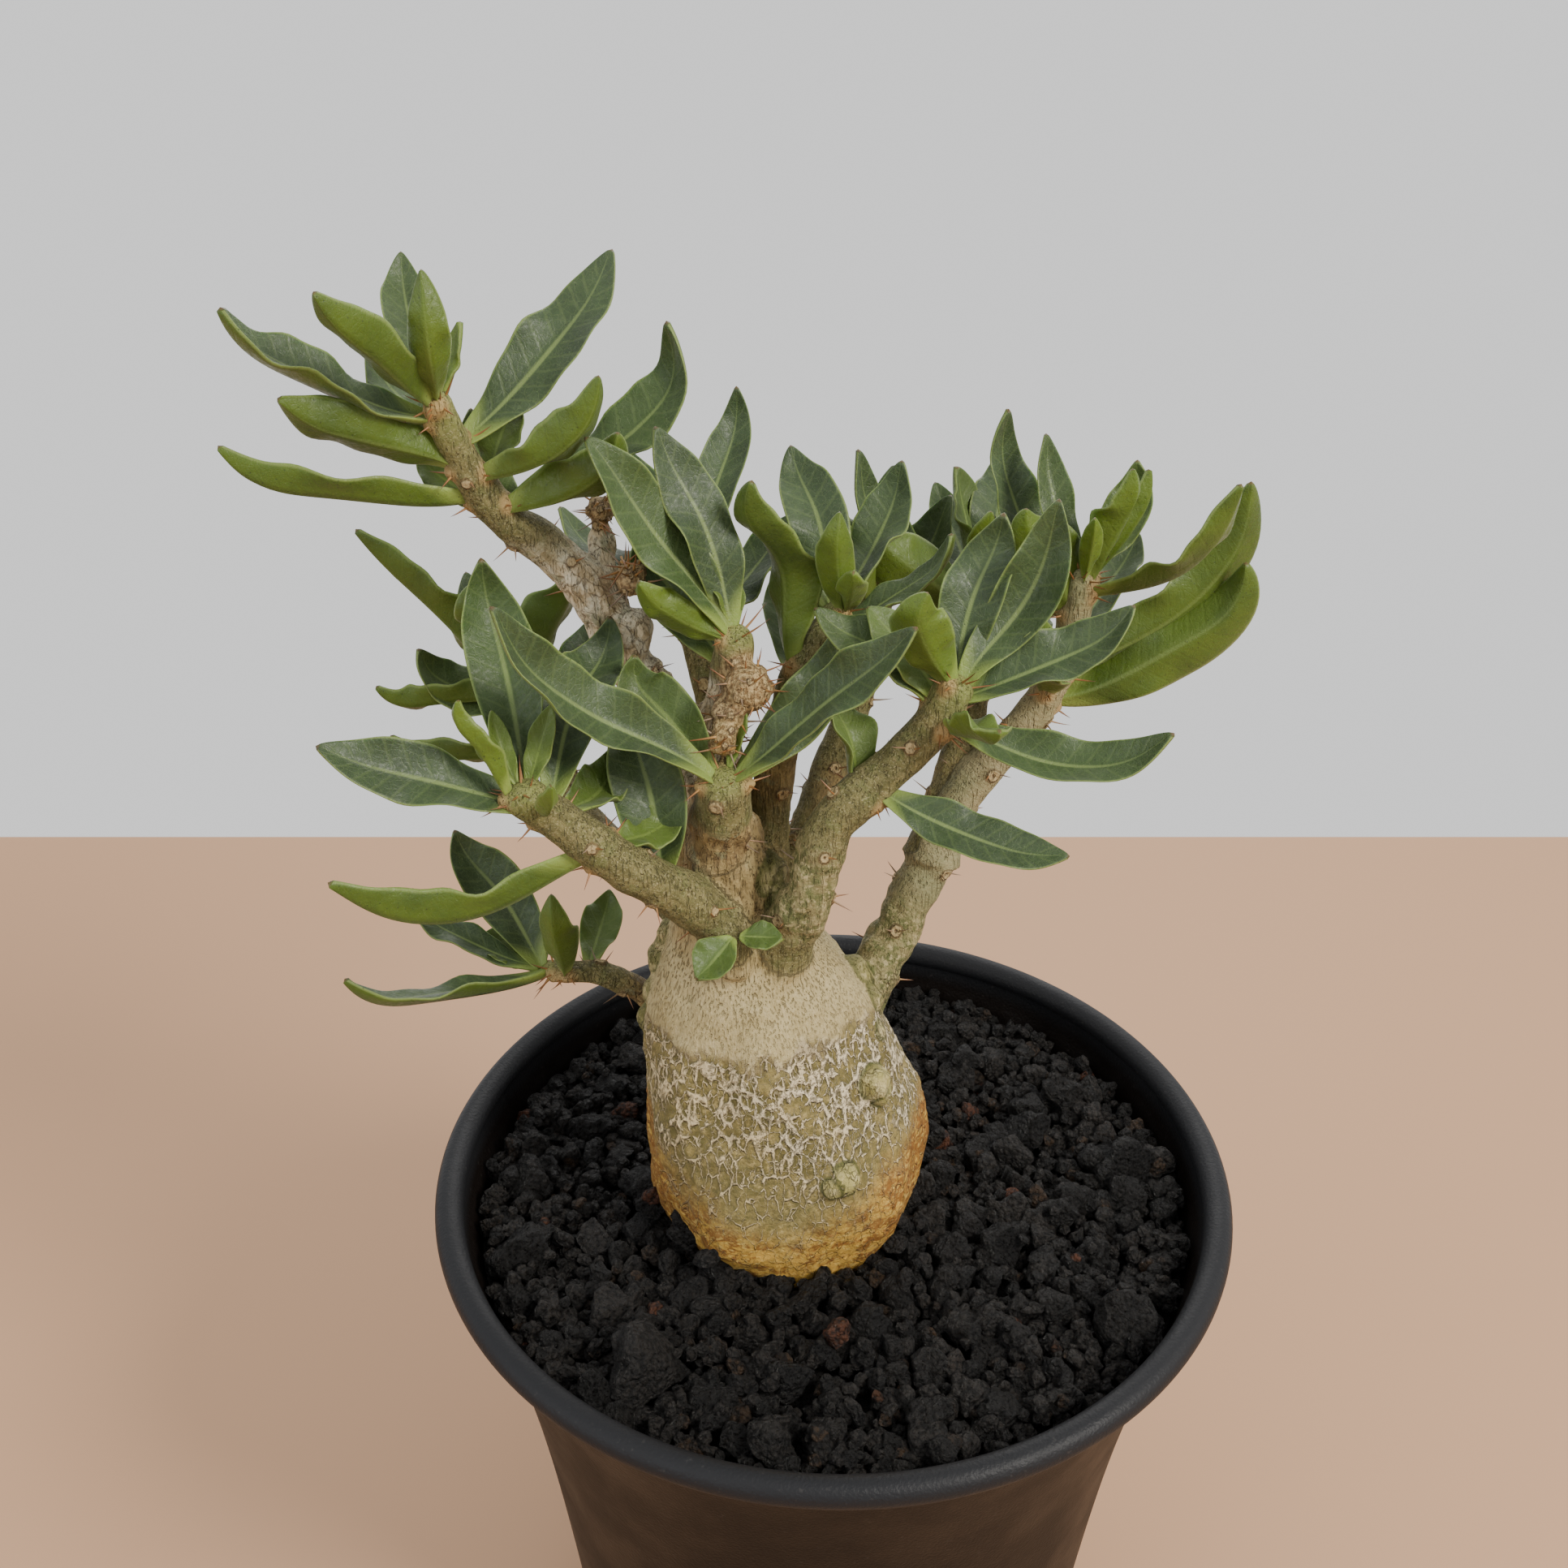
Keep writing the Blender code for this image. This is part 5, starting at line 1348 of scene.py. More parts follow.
def leaf_finish(settings):
    """Blue-green above and olive below, with a pale midrib, soft side veins, pale margins, a yellow-green
    base, brown specks and a red-brown point. The blade field holds the place across, along and on which
    face, and the look field the leaf's own tone, its youth and its length so far."""
    leaf = Finish("leaf_tissue")
    across, along, face = leaf.field("blade")
    tone, youth, distance = leaf.field("look")
    place = leaf.millimetres()
    side = leaf.math("ABSOLUTE", across)
    broad = leaf.noise(leaf.bend(place, 4.0, 2.0), 7.0, 3.0, 0.6)
    fine = leaf.noise(place, 0.7, 4.0, 0.65)
    upper = leaf.mix(leaf.band(broad, 0.3, 0.7), settings.upper, settings.upper_dark)
    upper = leaf.paint(upper, settings.upper_green, leaf.band(tone, 0.45, 1.3))
    bloom = leaf.band(leaf.noise(place, 2.2, 5.0, 0.7), 0.45, 0.72)
    upper = leaf.paint(upper, settings.bloom, bloom, 0.26)
    slope = leaf.math("SUBTRACT", distance, leaf.times(side, 2.6))
    ripple = leaf.plus(leaf.times(slope, 2.6), leaf.times(fine, 1.6))
    veins = leaf.times(leaf.band(leaf.math("SINE", ripple), 0.72, 1.0), leaf.band(side, 0.04, 0.2))
    net = leaf.band(leaf.cells(leaf.bend(place, 1.5, 0.8), 1.0, "DISTANCE_TO_EDGE"), 0.09, 0.0)
    light_lines = leaf.math("MAXIMUM", leaf.times(veins, 0.13), leaf.times(net, 0.09))
    upper = leaf.paint(upper, settings.vein, light_lines)
    rib_width = leaf.band(along, 0.0, 1.0, 0.11, 0.05)
    rib = leaf.band(leaf.math("DIVIDE", side, rib_width), 1.3, 0.3)
    rib = leaf.times(rib, leaf.band(along, 0.35, 1.0, 1.0, 0.35))
    upper = leaf.paint(upper, settings.vein, rib, 0.75)
    under = leaf.mix(leaf.band(broad, 0.35, 0.75), settings.under, settings.under_dark)
    under = leaf.paint(under, settings.vein, rib, 0.35)
    colour = leaf.mix(leaf.band(face, -0.2, 0.2), under, upper)
    colour = leaf.paint(colour, settings.young, youth, 0.85)
    colour = leaf.paint(colour, settings.margin, leaf.band(side, 0.90, 0.985), 0.8)
    base = leaf.band(leaf.plus(along, leaf.times(side, -0.1)), 0.15, 0.0)
    colour = leaf.paint(colour, settings.base, base, 0.8)
    speck = leaf.band(leaf.noise(place, 0.55, 2.0, 0.5), 0.72, 0.78)
    speckled = leaf.band(leaf.noise(place, 5.0, 2.0), 0.52, 0.62)
    colour = leaf.paint(colour, settings.speck, speck, speckled, 0.8)
    fleck = leaf.band(leaf.noise(place, 0.2, 1.0, 0.5), 0.66, 0.76)
    colour = leaf.paint(colour, LEAF_FLECK, fleck, 0.22)
    dots = leaf.band(leaf.cells(place, 0.95, randomness=0.9), 0.15, 0.07, 0.0, 0.55)
    colour = leaf.paint(colour, LEAF_DOT, dots)
    colour = leaf.paint(colour, settings.point, leaf.band(along, 0.985, 0.997), 0.8)
    leaf.set(Base_Color=colour, Roughness=leaf.band(fine, 0.3, 0.7, 0.36, 0.62), Specular_IOR_Level=0.34)
    leaf.set(Subsurface_Weight=0.12, Subsurface_Scale=0.0012, Subsurface_Radius=(0.5, 1.0, 0.25))
    leaf.set(Sheen_Weight=0.06, Sheen_Roughness=0.5)
    leaf.relief(leaf.plus(leaf.times(fine, 0.5), leaf.times(light_lines, -0.8)), 0.30, 0.7)
    return leaf.material


# Spines

SPINE_SEED = 31
SPINE_RINGS = 6
SPINE_SIDES = 6
TIP_SPINES, TIP_LENGTH, TIP_SPREAD = 9, 4.6, 0.9  # at each growing tip
# Clusters of spines that the photo shows on old wood: middle, count and length
SPINE_STARS = (
    (-12.0, -3.0, 187.5, 9, 6.5),
    (-27.7, 6.0, 199.4, 8, 4.5),
    (-31.0, 12.0, 204.5, 5, 4.0),
    (-15.0, -8.0, 181.5, 6, 4.5),
)
OLD_SPINE = (0.24, 0.20, 0.15)


def spine(root, way, length, radius, bend, tone, fresh):
    """A tapering needle: six-sided rings on an arc that bends a little upwards. Its field holds the place
    along it, its tone, and 1 for a fresh one or 0 for an old one."""
    share = np.linspace(0, 1, SPINE_RINGS + 1)[:-1]
    side = unit(np.cross(way, (0.1, 0.2, 1.0)))
    up = np.cross(side, way)
    middle = root + way * (share * length)[:, None] + up * (bend * length * share**2)[:, None]
    turn = circle(SPINE_SIDES)
    around = side * np.cos(turn)[:, None] + up * np.sin(turn)[:, None]
    reach = radius * (1 - share) ** 0.8
    points = (middle[:, None] + reach[:, None, None] * around[None]).reshape(-1, 3)
    tip = root + way * length + up * bend * length
    along = np.concatenate([np.repeat(share, SPINE_SIDES), [0, 1]])
    field = np.column_stack([along, along * 0 + tone, along * 0 + fresh])
    return np.vstack([points, middle[:1], tip]), ring_faces(SPINE_RINGS, SPINE_SIDES)[:, ::-1], field


def paired_spines(settings, draw):
    """Two spines, spread to both sides, at each leaf cushion and old scar. A few scars have lost one."""
    for x, y, z, out_x, out_y, out_z, leafy, size in scar_places():
        out = np.array([out_x, out_y, out_z])
        level = unit(np.cross(out, (0, 0, 1.0)) + 1e-9)
        count = 2 if leafy or draw.uniform() < 0.85 else 1
        for hand in (-1, 1)[:count]:
            lean = draw.uniform(0.35, 0.8) * hand
            way = unit(out + level * lean + np.array([0, 0, draw.uniform(-0.15, 0.35)]))
            length = draw.uniform(0.65, 1.1) * settings.length * (1.0 if leafy else 0.9)
            root = np.array([x, y, z]) + level * hand * 0.45 - out * 0.3
            thick = settings.radius * (1.0 if leafy else 0.85)
            yield spine(root, way, length, thick, draw.uniform(-0.05, 0.15), draw.uniform(), leafy)


def tip_spines(settings, draw):
    """A star of spines at each growing tip."""
    for branch in BRANCHES.values():
        route, along, side, up, length = course(branch.route, PLACE_STEP)
        for number in range(TIP_SPINES):
            turn = np.radians(number * GOLDEN_TURN)
            out = side[-1] * np.cos(turn) + up[-1] * np.sin(turn)
            way = unit(along[-1] * draw.uniform(0.25, 1.2) + out * TIP_SPREAD)
            root = route[-1] - along[-1] * draw.uniform(0.6, 2.4) + out * 0.6
            yield spine(root, way, TIP_LENGTH * draw.uniform(0.7, 1.15), settings.radius, 0.08, 0, 1)


def star_spines(settings, draw):
    """The clusters on old wood, which point to the front more than to the back."""
    for x, y, z, count, reach in SPINE_STARS:
        for _ in range(count):
            way = unit(draw.normal(size=3) * (1, 0.7, 0.8) + (0, -0.55, 0.25))
            root = np.array([x, y, z]) + draw.normal(0, 0.7, 3) * (1, 0.3, 1)
            length = reach * draw.uniform(0.6, 1.15)
            yield spine(root, way, length, settings.radius, 0.05, draw.uniform(0, 0.3), 1)


def build_spines(context):
    """The pairs of spines and the stars of them, as one piece."""
    settings = context.scene.pachypodium_spines
    draw = np.random.default_rng(SPINE_SEED)
    made = [row for kind in (paired_spines, tip_spines, star_spines) for row in kind(settings, draw)]
    points, faces = join_shells([shell[:2] for shell in made])
    fields = {"needle": np.vstack([shell[2] for shell in made])}
    piece = new_piece("spines", points, faces, spine_finish(settings), fields)


def spine_finish(settings):
    """Orange-brown at the root, darker along the needle, with a dark tip; old ones are greyer."""
    needle = Finish("spine")
    along, tone, fresh = needle.field("needle")
    colour = needle.mix(needle.band(along, 0.05, 0.55), settings.root, settings.shaft)
    colour = needle.paint(colour, settings.tip, needle.band(along, 0.6, 1.0))
    colour = needle.paint(colour, OLD_SPINE, needle.rest(fresh), needle.band(tone, 0.3, 0.9), 0.7)
    needle.set(Base_Color=colour, Roughness=0.42)
    return needle.material


# Gravel

GRAVEL_SEED = 5
SOIL_LEVEL = 96.5
BED_LEVEL = SOIL_LEVEL - 1.2  # the bed's top, which the grains hide
HEAP_LEVEL = SOIL_LEVEL - 0.6  # the level that the first grains are dropped on
HEAP_RADIUS, HEAP_CELL = 56.0, 0.5
ROOT_LEVEL = SOIL_LEVEL + 1.5  # where the caudex is as wide as grains have to keep clear of
SEAT_GAP = 0.3
BURIED = 0.25  # a grain that lies deeper than this is left out
FILLING = 1.12  # grains are made this much larger than the heap takes them to be
ALL_BLACK = 0.8  # keeps a grain's second value under the brown and rust ones
GRAIN_DIVISIONS = (("fine", 1), ("medium", 2), ("coarse", 3))
# Large stones that the photo shows: place and half size
STONES = (
    (-46.5, -13.8, 4.4), (-26.3, -35.5, 4.6), (46.0, 4.3, 4.4), (40.6, -26.9, 4.2), (31.0, 12.0, 3.2),
    (38.0, 20.0, 3.4), (22.0, 26.0, 3.2), (-33.0, -24.0, 2.9), (4.0, -28.5, 3.1), (12.5, -34.0, 2.8),
    (-17.0, -24.5, 2.8), (15.5, -19.0, 2.7), (26.0, -12.0, 2.9), (34.0, -6.0, 3.0), (-2.0, -46.0, 2.8),
    (22.0, -42.0, 2.9), (-12.0, 30.0, 3.0), (-38.0, 14.0, 3.1), (6.0, 40.0, 3.2), (-30.0, 36.0, 2.8),
)
# Grains heaped against the caudex: middle, spread and count
PILES = (
    (-21.5, -14.0, 2.0, 16),
    (-16.5, -18.5, 1.8, 10),
    (9.5, -11.5, 1.8, 14),
    (-26.0, -6.0, 1.8, 8),
    (12.0, -3.0, 1.6, 8),
)


class Heap:
    """The height of the gravel's top on a square grid, which each dropped grain raises."""

    def __init__(self):
        count = int(2 * HEAP_RADIUS / HEAP_CELL) + 1
        self.axis = np.linspace(-HEAP_RADIUS, HEAP_RADIUS, count)
        self.height = np.full((count, count), HEAP_LEVEL)
        self.inner = wall_radius(SOIL_LEVEL) - POT_WALL
        self.root_x, self.root_y, self.root_radius = np.ravel(caudex_middle(np.array([ROOT_LEVEL])))
        self.grains = {kind: [] for kind, divisions in GRAIN_DIVISIONS}

    def patch(self, x, y, reach):
        low_x, high_x = np.searchsorted(self.axis, (x - reach, x + reach))
        low_y, high_y = np.searchsorted(self.axis, (y - reach, y + reach))
        return slice(low_x, max(high_x, low_x + 1)), slice(low_y, max(high_y, low_y + 1))

    def level_at(self, x, y, reach):
        return self.height[self.patch(x, y, reach)].mean()

    def top(self, x, y, reach, thick, middle):
        """The grid cells that a grain covers, and the height of its top over each of them."""
        columns, rows = self.patch(x, y, reach)
        gap_x, gap_y = np.meshgrid(self.axis[columns] - x, self.axis[rows] - y, indexing="ij")
        inside = np.clip(1 - (gap_x**2 + gap_y**2) / reach**2, 0, 1)
        return (columns, rows), np.where(inside > 0, middle + thick * np.sqrt(inside), -1e9)

    def drop(self, kind, x, y, size, flat, sunk):
        """Sets a grain down at the mean level under it, part sunk."""
        thick = size * flat
        middle = self.level_at(x, y, size) + thick * (1 - sunk)
        cells, top = self.top(x, y, size, thick, middle)
        self.height[cells] = np.maximum(self.height[cells], top)
        self.grains[kind].append((x, y, middle, size))

    def scatter(self, kind, count, low, high, draw):
        """Grains of sizes between low and high, each at the lowest of three places clear of the caudex."""
        for _ in range(count):
            size = draw.uniform(low, high)
            best = None
            for _ in range(3):
                way, far = draw.uniform(0, 2 * np.pi), (self.inner - size * 0.9) * np.sqrt(draw.uniform())
                x, y = far * np.cos(way), far * np.sin(way)
                if np.hypot(x - self.root_x, y - self.root_y) < self.root_radius - size * 0.2:
                    continue
                level = self.level_at(x, y, size)
                if best is None or level < best[2]:
                    best = (x, y, level)
            if best is not None:
                self.drop(kind, best[0], best[1], size, 0.85, 0.45)

    def shows(self, x, y, middle, reach):
        """Whether some of a grain lies at the heap's surface or less than BURIED below it."""
        cells, top = self.top(x, y, reach, reach * 0.85, middle)
        return (top > self.height[cells] - BURIED).any()


def grain_shapes(middles, sizes, divisions, draw):
    """Every grain at once: a ball made lumpy by noise, cut flat by random planes, pitted by finer noise,
    squashed to its three sizes and turned. Returns points, triangles and one field value a grain."""
    base, faces = ball(divisions)
    count = len(middles)
    body = np.broadcast_to(base, (count, *base.shape)).copy()
    apart = (base[None] + draw.uniform(0, 20, (count, 1, 3))).reshape(-1, 3)
    body *= 1 + 0.38 * lattice_noise(apart, 0.7, 61).reshape(count, -1, 1)
    for _ in range(4):
        way = unit(draw.normal(size=(count, 3)))
        reach = draw.uniform(0.5, 0.85, (count, 1))
        past = np.clip(np.einsum("npk,nk->np", body, way) - reach, 0, None)
        body -= 0.9 * past[:, :, None] * way[:, None]
    body *= 1 + 0.14 * lattice_noise(apart, 0.3, 62).reshape(count, -1, 1)
    shape = draw.uniform(0.72, 1.15, (count, 1, 3)) * sizes[:, None, None]
    axes = unit(draw.normal(size=(count, 3)))
    other = unit(np.cross(axes, draw.normal(size=(count, 3))))
    turn = np.stack([axes, other, np.cross(axes, other)], axis=1)
    points = np.einsum("npk,nkj->npj", body * shape, turn) + middles[:, None]
    index = faces[None] + (np.arange(count) * len(base))[:, None, None]
    tone = np.repeat(draw.uniform(size=(count, 3)), len(base), axis=0)
    return points.reshape(-1, 3), index.reshape(-1, 3), tone


def build_gravel(context):
    """A bed that fills the pot, and grains dropped on it one after another."""
    settings = context.scene.pachypodium_gravel
    finish = gravel_finish(settings)
    bed = gravel_bed(finish)
    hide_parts("gravel")
    draw = np.random.default_rng(GRAVEL_SEED)
    heap = Heap()
    heap.scatter("fine", settings.fine // 3, 0.8, 1.3, draw)
    heap.scatter("medium", settings.medium // 3, 1.3, 2.1, draw)
    heap.scatter("coarse", settings.coarse, 2.1, 3.2, draw)
    for x, y, size in STONES:
        heap.drop("coarse", x, y, size, 0.8, 0.55)
    for x, y, spread, most in PILES:
        for _ in range(most):
            size = draw.uniform(1.1, 2.2)
            apart = draw.normal(0, spread, 2)
            heap.drop("medium", x + apart[0], y + apart[1], size, 0.8, 0.5)
    heap.scatter("medium", settings.medium * 2 // 3, 1.2, 2.1, draw)
    heap.scatter("fine", settings.fine * 2 // 3, 0.7, 1.2, draw)
    for kind, divisions in GRAIN_DIVISIONS:
        rows = np.array([row for row in heap.grains[kind] if heap.shows(*row)])
        points, faces, tone = grain_shapes(rows[:, :3], rows[:, 3] * FILLING, divisions, draw)
        if kind == "coarse":
            tone[:, 1] *= ALL_BLACK
        piece = new_piece("gravel_" + kind, points, faces, finish, {"grain": tone}, smooth=kind != "fine")


def gravel_bed(finish):
    """A plug turned round Z that fills the pot under the grains, with a lumpy top."""
    floor = FLOOR_LEVEL + SEAT_GAP
    profile = [(0.0, floor)]
    profile += [(wall_radius(z) - POT_WALL - SEAT_GAP, z) for z in (floor, 40, 72, 88, BED_LEVEL)]
    profile += [(radius, BED_LEVEL) for radius in np.linspace(profile[-1][0], 0, 40)[1:]]
    points, faces = turned(np.array(profile), 120)
    flat = points[:, 2] > BED_LEVEL - 0.1
    points[flat, 2] += 0.8 * lattice_noise(points[flat], 2.2, 4)
    return new_piece("gravel_bed", points, faces, finish, {"grain": np.full((len(points), 3), 0.3)})


BUBBLE_SHADE = (0.0015, 0.0012, 0.001)


def gravel_finish(settings):
    """Black lava: a few grains brown or rust, a rough pitted surface with painted shade between its bubbles,
    and a damp sparkle.
    """
    lava = Finish("lava")
    first, second = lava.field("grain")[:2]
    place = lava.millimetres()
    pits = lava.noise(place, 0.45, 5.0, 0.7)
    rough = lava.noise(place, 1.3, 4.0, 0.65)
    bubbles = lava.cells(lava.bend(place, 0.8, 0.5), 0.75)
    colour = lava.mix(lava.band(first, 0.1, 0.9), settings.black, settings.grey)
    colour = lava.paint(colour, settings.brown, lava.band(second, 0.88, 0.97))
    colour = lava.paint(colour, settings.rust, lava.band(second, 0.985, 0.99))
    # Partly painted highlight: a pale dust tone laid on the raised parts of the rough relief, standing for
    # light on the grains' tops.
    colour = lava.paint(colour, settings.dust, lava.band(rough, 0.56, 0.7), 0.4)
    # Painted shade: the hollows between the bubbles, which the relief presses in, are painted near black.
    colour = lava.paint(colour, BUBBLE_SHADE, lava.band(bubbles, 0.35, 0.75, 0.0, 0.85))
    lava.set(Base_Color=colour, Roughness=lava.band(pits, 0.38, 0.62, 0.22, 0.70), Specular_IOR_Level=0.34)
    lava.relief(lava.math("SUBTRACT", lava.plus(pits, rough), lava.times(bubbles, 0.9)), 0.9)
    return lava.material


# Pot

POT_HEIGHT = 105.0
RIM_RADIUS = 57.9
RIM_ROLL = 2.1
POT_WALL = 1.3
FOOT_HEIGHT = 3.0
FOOT_WIDTH = 4.0
FLOOR_LEVEL = 5.0
BOSS_RADIUS = 12.0
DRAIN_COUNT = 8
DRAIN_RADIUS = 4.0
DRAIN_CIRCLE = 26.0
DRAIN_FROM, DRAIN_TO = 0.5, 8.0  # the heights that a drain hole is cut between
PLASTIC_DUST = (0.12, 0.11, 0.10)


def wall_radius(height):
    """Outer radius of the pot's wall: a straight taper, with a flare that meets the rim."""
    depth = POT_HEIGHT - height
    return 50.5 - 0.087 * depth + 8.5 * np.exp(-depth / 22.0)


def pot_outline():
    """Half section of the pot, from the middle of the boss round the rim to the middle of the floor."""
    foot = wall_radius(0)
    heel = foot - FOOT_WIDTH
    outside = [(0, 0), (BOSS_RADIUS - 0.5, 0), (BOSS_RADIUS, 0.3), (BOSS_RADIUS + 1, FOOT_HEIGHT)]
    outside += [(heel - 1, FOOT_HEIGHT), (heel, 0.4), (heel + 0.4, 0), (foot - 1.2, 0), (foot - 0.4, 0.4)]
    outside += [(wall_radius(z), z) for z in np.linspace(1.2, POT_HEIGHT - 2 * RIM_ROLL - 1, 44)]
    middle = POT_HEIGHT - RIM_ROLL
    turns = np.radians(np.linspace(-70, 220, 26))
    rim = [(RIM_RADIUS + RIM_ROLL * np.cos(a), middle + RIM_ROLL * np.sin(a)) for a in turns]
    inside = [(wall_radius(z) - POT_WALL, z) for z in np.linspace(98, FLOOR_LEVEL + 2, 24)]
    inside += [(wall_radius(FLOOR_LEVEL) - POT_WALL - 1.5, FLOOR_LEVEL), (0, FLOOR_LEVEL)]
    return np.array(outside + rim + inside)


def build_pot(context):
    """The turned pot, with its drain holes cut by one Boolean."""
    settings = context.scene.pachypodium_pot
    points, faces = turned(pot_outline(), settings.steps)
    pot = new_piece("pot_shell", points, faces, pot_finish(settings))
    side = np.array([(0, DRAIN_FROM), (DRAIN_RADIUS, DRAIN_FROM), (DRAIN_RADIUS, DRAIN_TO), (0, DRAIN_TO)])
    hole, hole_faces = turned(side, 28)
    places = [(DRAIN_CIRCLE * np.cos(turn), DRAIN_CIRCLE * np.sin(turn), 0) for turn in circle(DRAIN_COUNT)]
    points, faces = join_shells([(hole + place, hole_faces) for place in places])
    drains = plain_object("drains", points * MM, faces)
    cut = pot.modifiers.new("drains", "BOOLEAN")
    cut.operation = "DIFFERENCE"
    cut.object = drains
    done = applied_mesh(pot)
    pot.modifiers.clear()
    pot.data = done
    remove_object(drains)
    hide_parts("pot")


def pot_finish(settings):
    """Satin black plastic with a fine moulded grain, faint wall streaks and a little dust; the wall is tinted
    brown as a painted reflection of the table, and the rim is painted a paler blue-grey as a painted
    highlight.
    """
    plastic = Finish("black_plastic")
    place = plastic.millimetres()
    grain = plastic.noise(place, 0.45, 2.0, 0.5)
    cloud = plastic.noise(place, 14.0, 3.0, 0.6)
    height = plastic.parts(place)[2]
    # Painted reflection and highlight: the wall's brown tint stands for the brown table seen in it, and the
    # rim's paler blue-grey for light on its top.
    colour = plastic.mix(plastic.band(height, 99.0, 101.5), settings.wall, settings.rim)
    dust = plastic.band(plastic.noise(place, 0.8, 3.0, 0.6), 0.62, 0.75)
    colour = plastic.paint(colour, PLASTIC_DUST, dust, 0.12)
    roughness = plastic.band(cloud, 0.3, 0.7, 0.44, 0.56)
    plastic.set(Base_Color=colour, Roughness=roughness, Specular_IOR_Level=0.19)
    plastic.relief(grain, 0.12, 0.8)
    return plastic.material


# Floor, light and camera

CAMERA_PLACE = (-0.00735, -0.1964, 0.2854)
CAMERA_TILT = 59.76
PHOTO_WIDTH = 1932
FOCAL_PIXELS = 2100
SENSOR = 36.0
NEAR_CLIP = 0.01
TABLE = (1.4, -1.4, 0.26)  # half width, near edge and far edge of the table top, in metres
TABLE_ROUGHNESS = 0.7
LAMP_AIM = Vector((0, 0, 0.14))
# Each lamp: place, width and colour. Its power is the setting of the same name
LAMPS = {
    "key": ((0.56, -0.42, 0.72), 0.30, (1.0, 0.95, 0.87)),
    "fill": ((-0.60, -0.40, 0.45), 0.60, (0.92, 0.96, 1.0)),
    "back": ((0.10, 0.70, 0.60), 0.70, (1.0, 0.98, 0.95)),
}


def build_stage(context):
    """A plain tan table top, an even pale sky, a soft key light high on the right and the photo's camera."""
    settings = context.scene.pachypodium_stage
    floor = Finish("floor")
    floor.set(Base_Color=settings.floor, Roughness=TABLE_ROUGHNESS)
    wide, near, far = TABLE
    corners = np.array([(-wide, near, 0), (wide, near, 0), (wide, far, 0), (-wide, far, 0)])
    ground = plain_object("floor", corners, np.array([(0, 1, 2, 3)]))
    ground.data.materials.append(floor.material)

    world = bpy.data.worlds.new("daylight")
    context.scene.world = world
    world.use_nodes = True
    sky = world.node_tree.nodes["Background"]
    sky.inputs["Color"].default_value = (1.0, 1.0, 1.0, 1.0)
    sky.inputs["Strength"].default_value = settings.sky
    for name, (place, size, tone) in LAMPS.items():
        lamp = bpy.data.lights.new(name, "AREA")
        lamp.shape = "DISK"
        lamp.size = size
        lamp.energy = getattr(settings, name)
        lamp.color = tone
        holder = add_object(name, lamp)
        holder.location = place
        holder.rotation_euler = (LAMP_AIM - Vector(place)).to_track_quat("-Z", "Y").to_euler()
    camera = add_object("camera", bpy.data.cameras.new("camera"))
    camera.data.sensor_width = SENSOR
    camera.data.lens = FOCAL_PIXELS / PHOTO_WIDTH * SENSOR
    camera.data.clip_start = NEAR_CLIP
    camera.location = CAMERA_PLACE
    camera.rotation_euler = (np.radians(CAMERA_TILT), 0, 0)
    context.scene.camera = camera


# Settings, operators and panel


def colour(label, meaning, default):
    """A colour setting in linear red, green and blue."""
    return FloatVectorProperty(
        name=label, description=meaning, default=default, subtype="COLOR", min=0, max=1, size=3
    )


class BarkSettings(bpy.types.PropertyGroup):
    """Sizes and colours of the bark."""

    grain: FloatProperty(name="Grain", description="Size of the skin's cells in mm", default=0.54, min=0.2)
    relief: FloatProperty(name="Relief", description="Its strength", default=1.0, min=0, subtype="FACTOR")
    upper: colour("Upper bark", "Smooth grey-tan bark of the caudex", (0.42, 0.345, 0.172))
    upper_warm: colour("Warm upper bark", "Its warmer parts", (0.33, 0.26, 0.117))
    olive: colour("Olive ground", "Skin between the net's lines", (0.245, 0.19, 0.066))
    olive_dark: colour("Dark ground", "Its darker parts", (0.145, 0.118, 0.037))
    net: colour("Net", "Cracked net of old bark", (0.60, 0.48, 0.27))
    # Partly painted light: the net is mixed towards this tone on the caudex's right, the lit side.
    net_white: colour("White net", "Its palest lines, under the seam", (0.68, 0.58, 0.39))
    amber: colour("Amber", "Base of the caudex", (0.54, 0.31, 0.055))
    rust: colour("Rust", "Darker patches of the base", (0.25, 0.10, 0.015))
    old_wood: colour("Old wood", "Weathered bark of the branches", (0.70, 0.59, 0.39))
    trunk: colour("Trunk", "Fibrous bark of the trunk", (0.30, 0.222, 0.095))
    fissure: colour("Fissure", "Cracks in the old wood", (0.09, 0.06, 0.03))
    young: colour("Young bark", "Grey-green bark of the stems", (0.175, 0.155, 0.058))
    young_dark: colour("Dark young bark", "Its darker streaks", (0.100, 0.092, 0.030))
    cushion: colour("Leaf cushion", "Swelling that carries a leaf", (0.40, 0.26, 0.11))


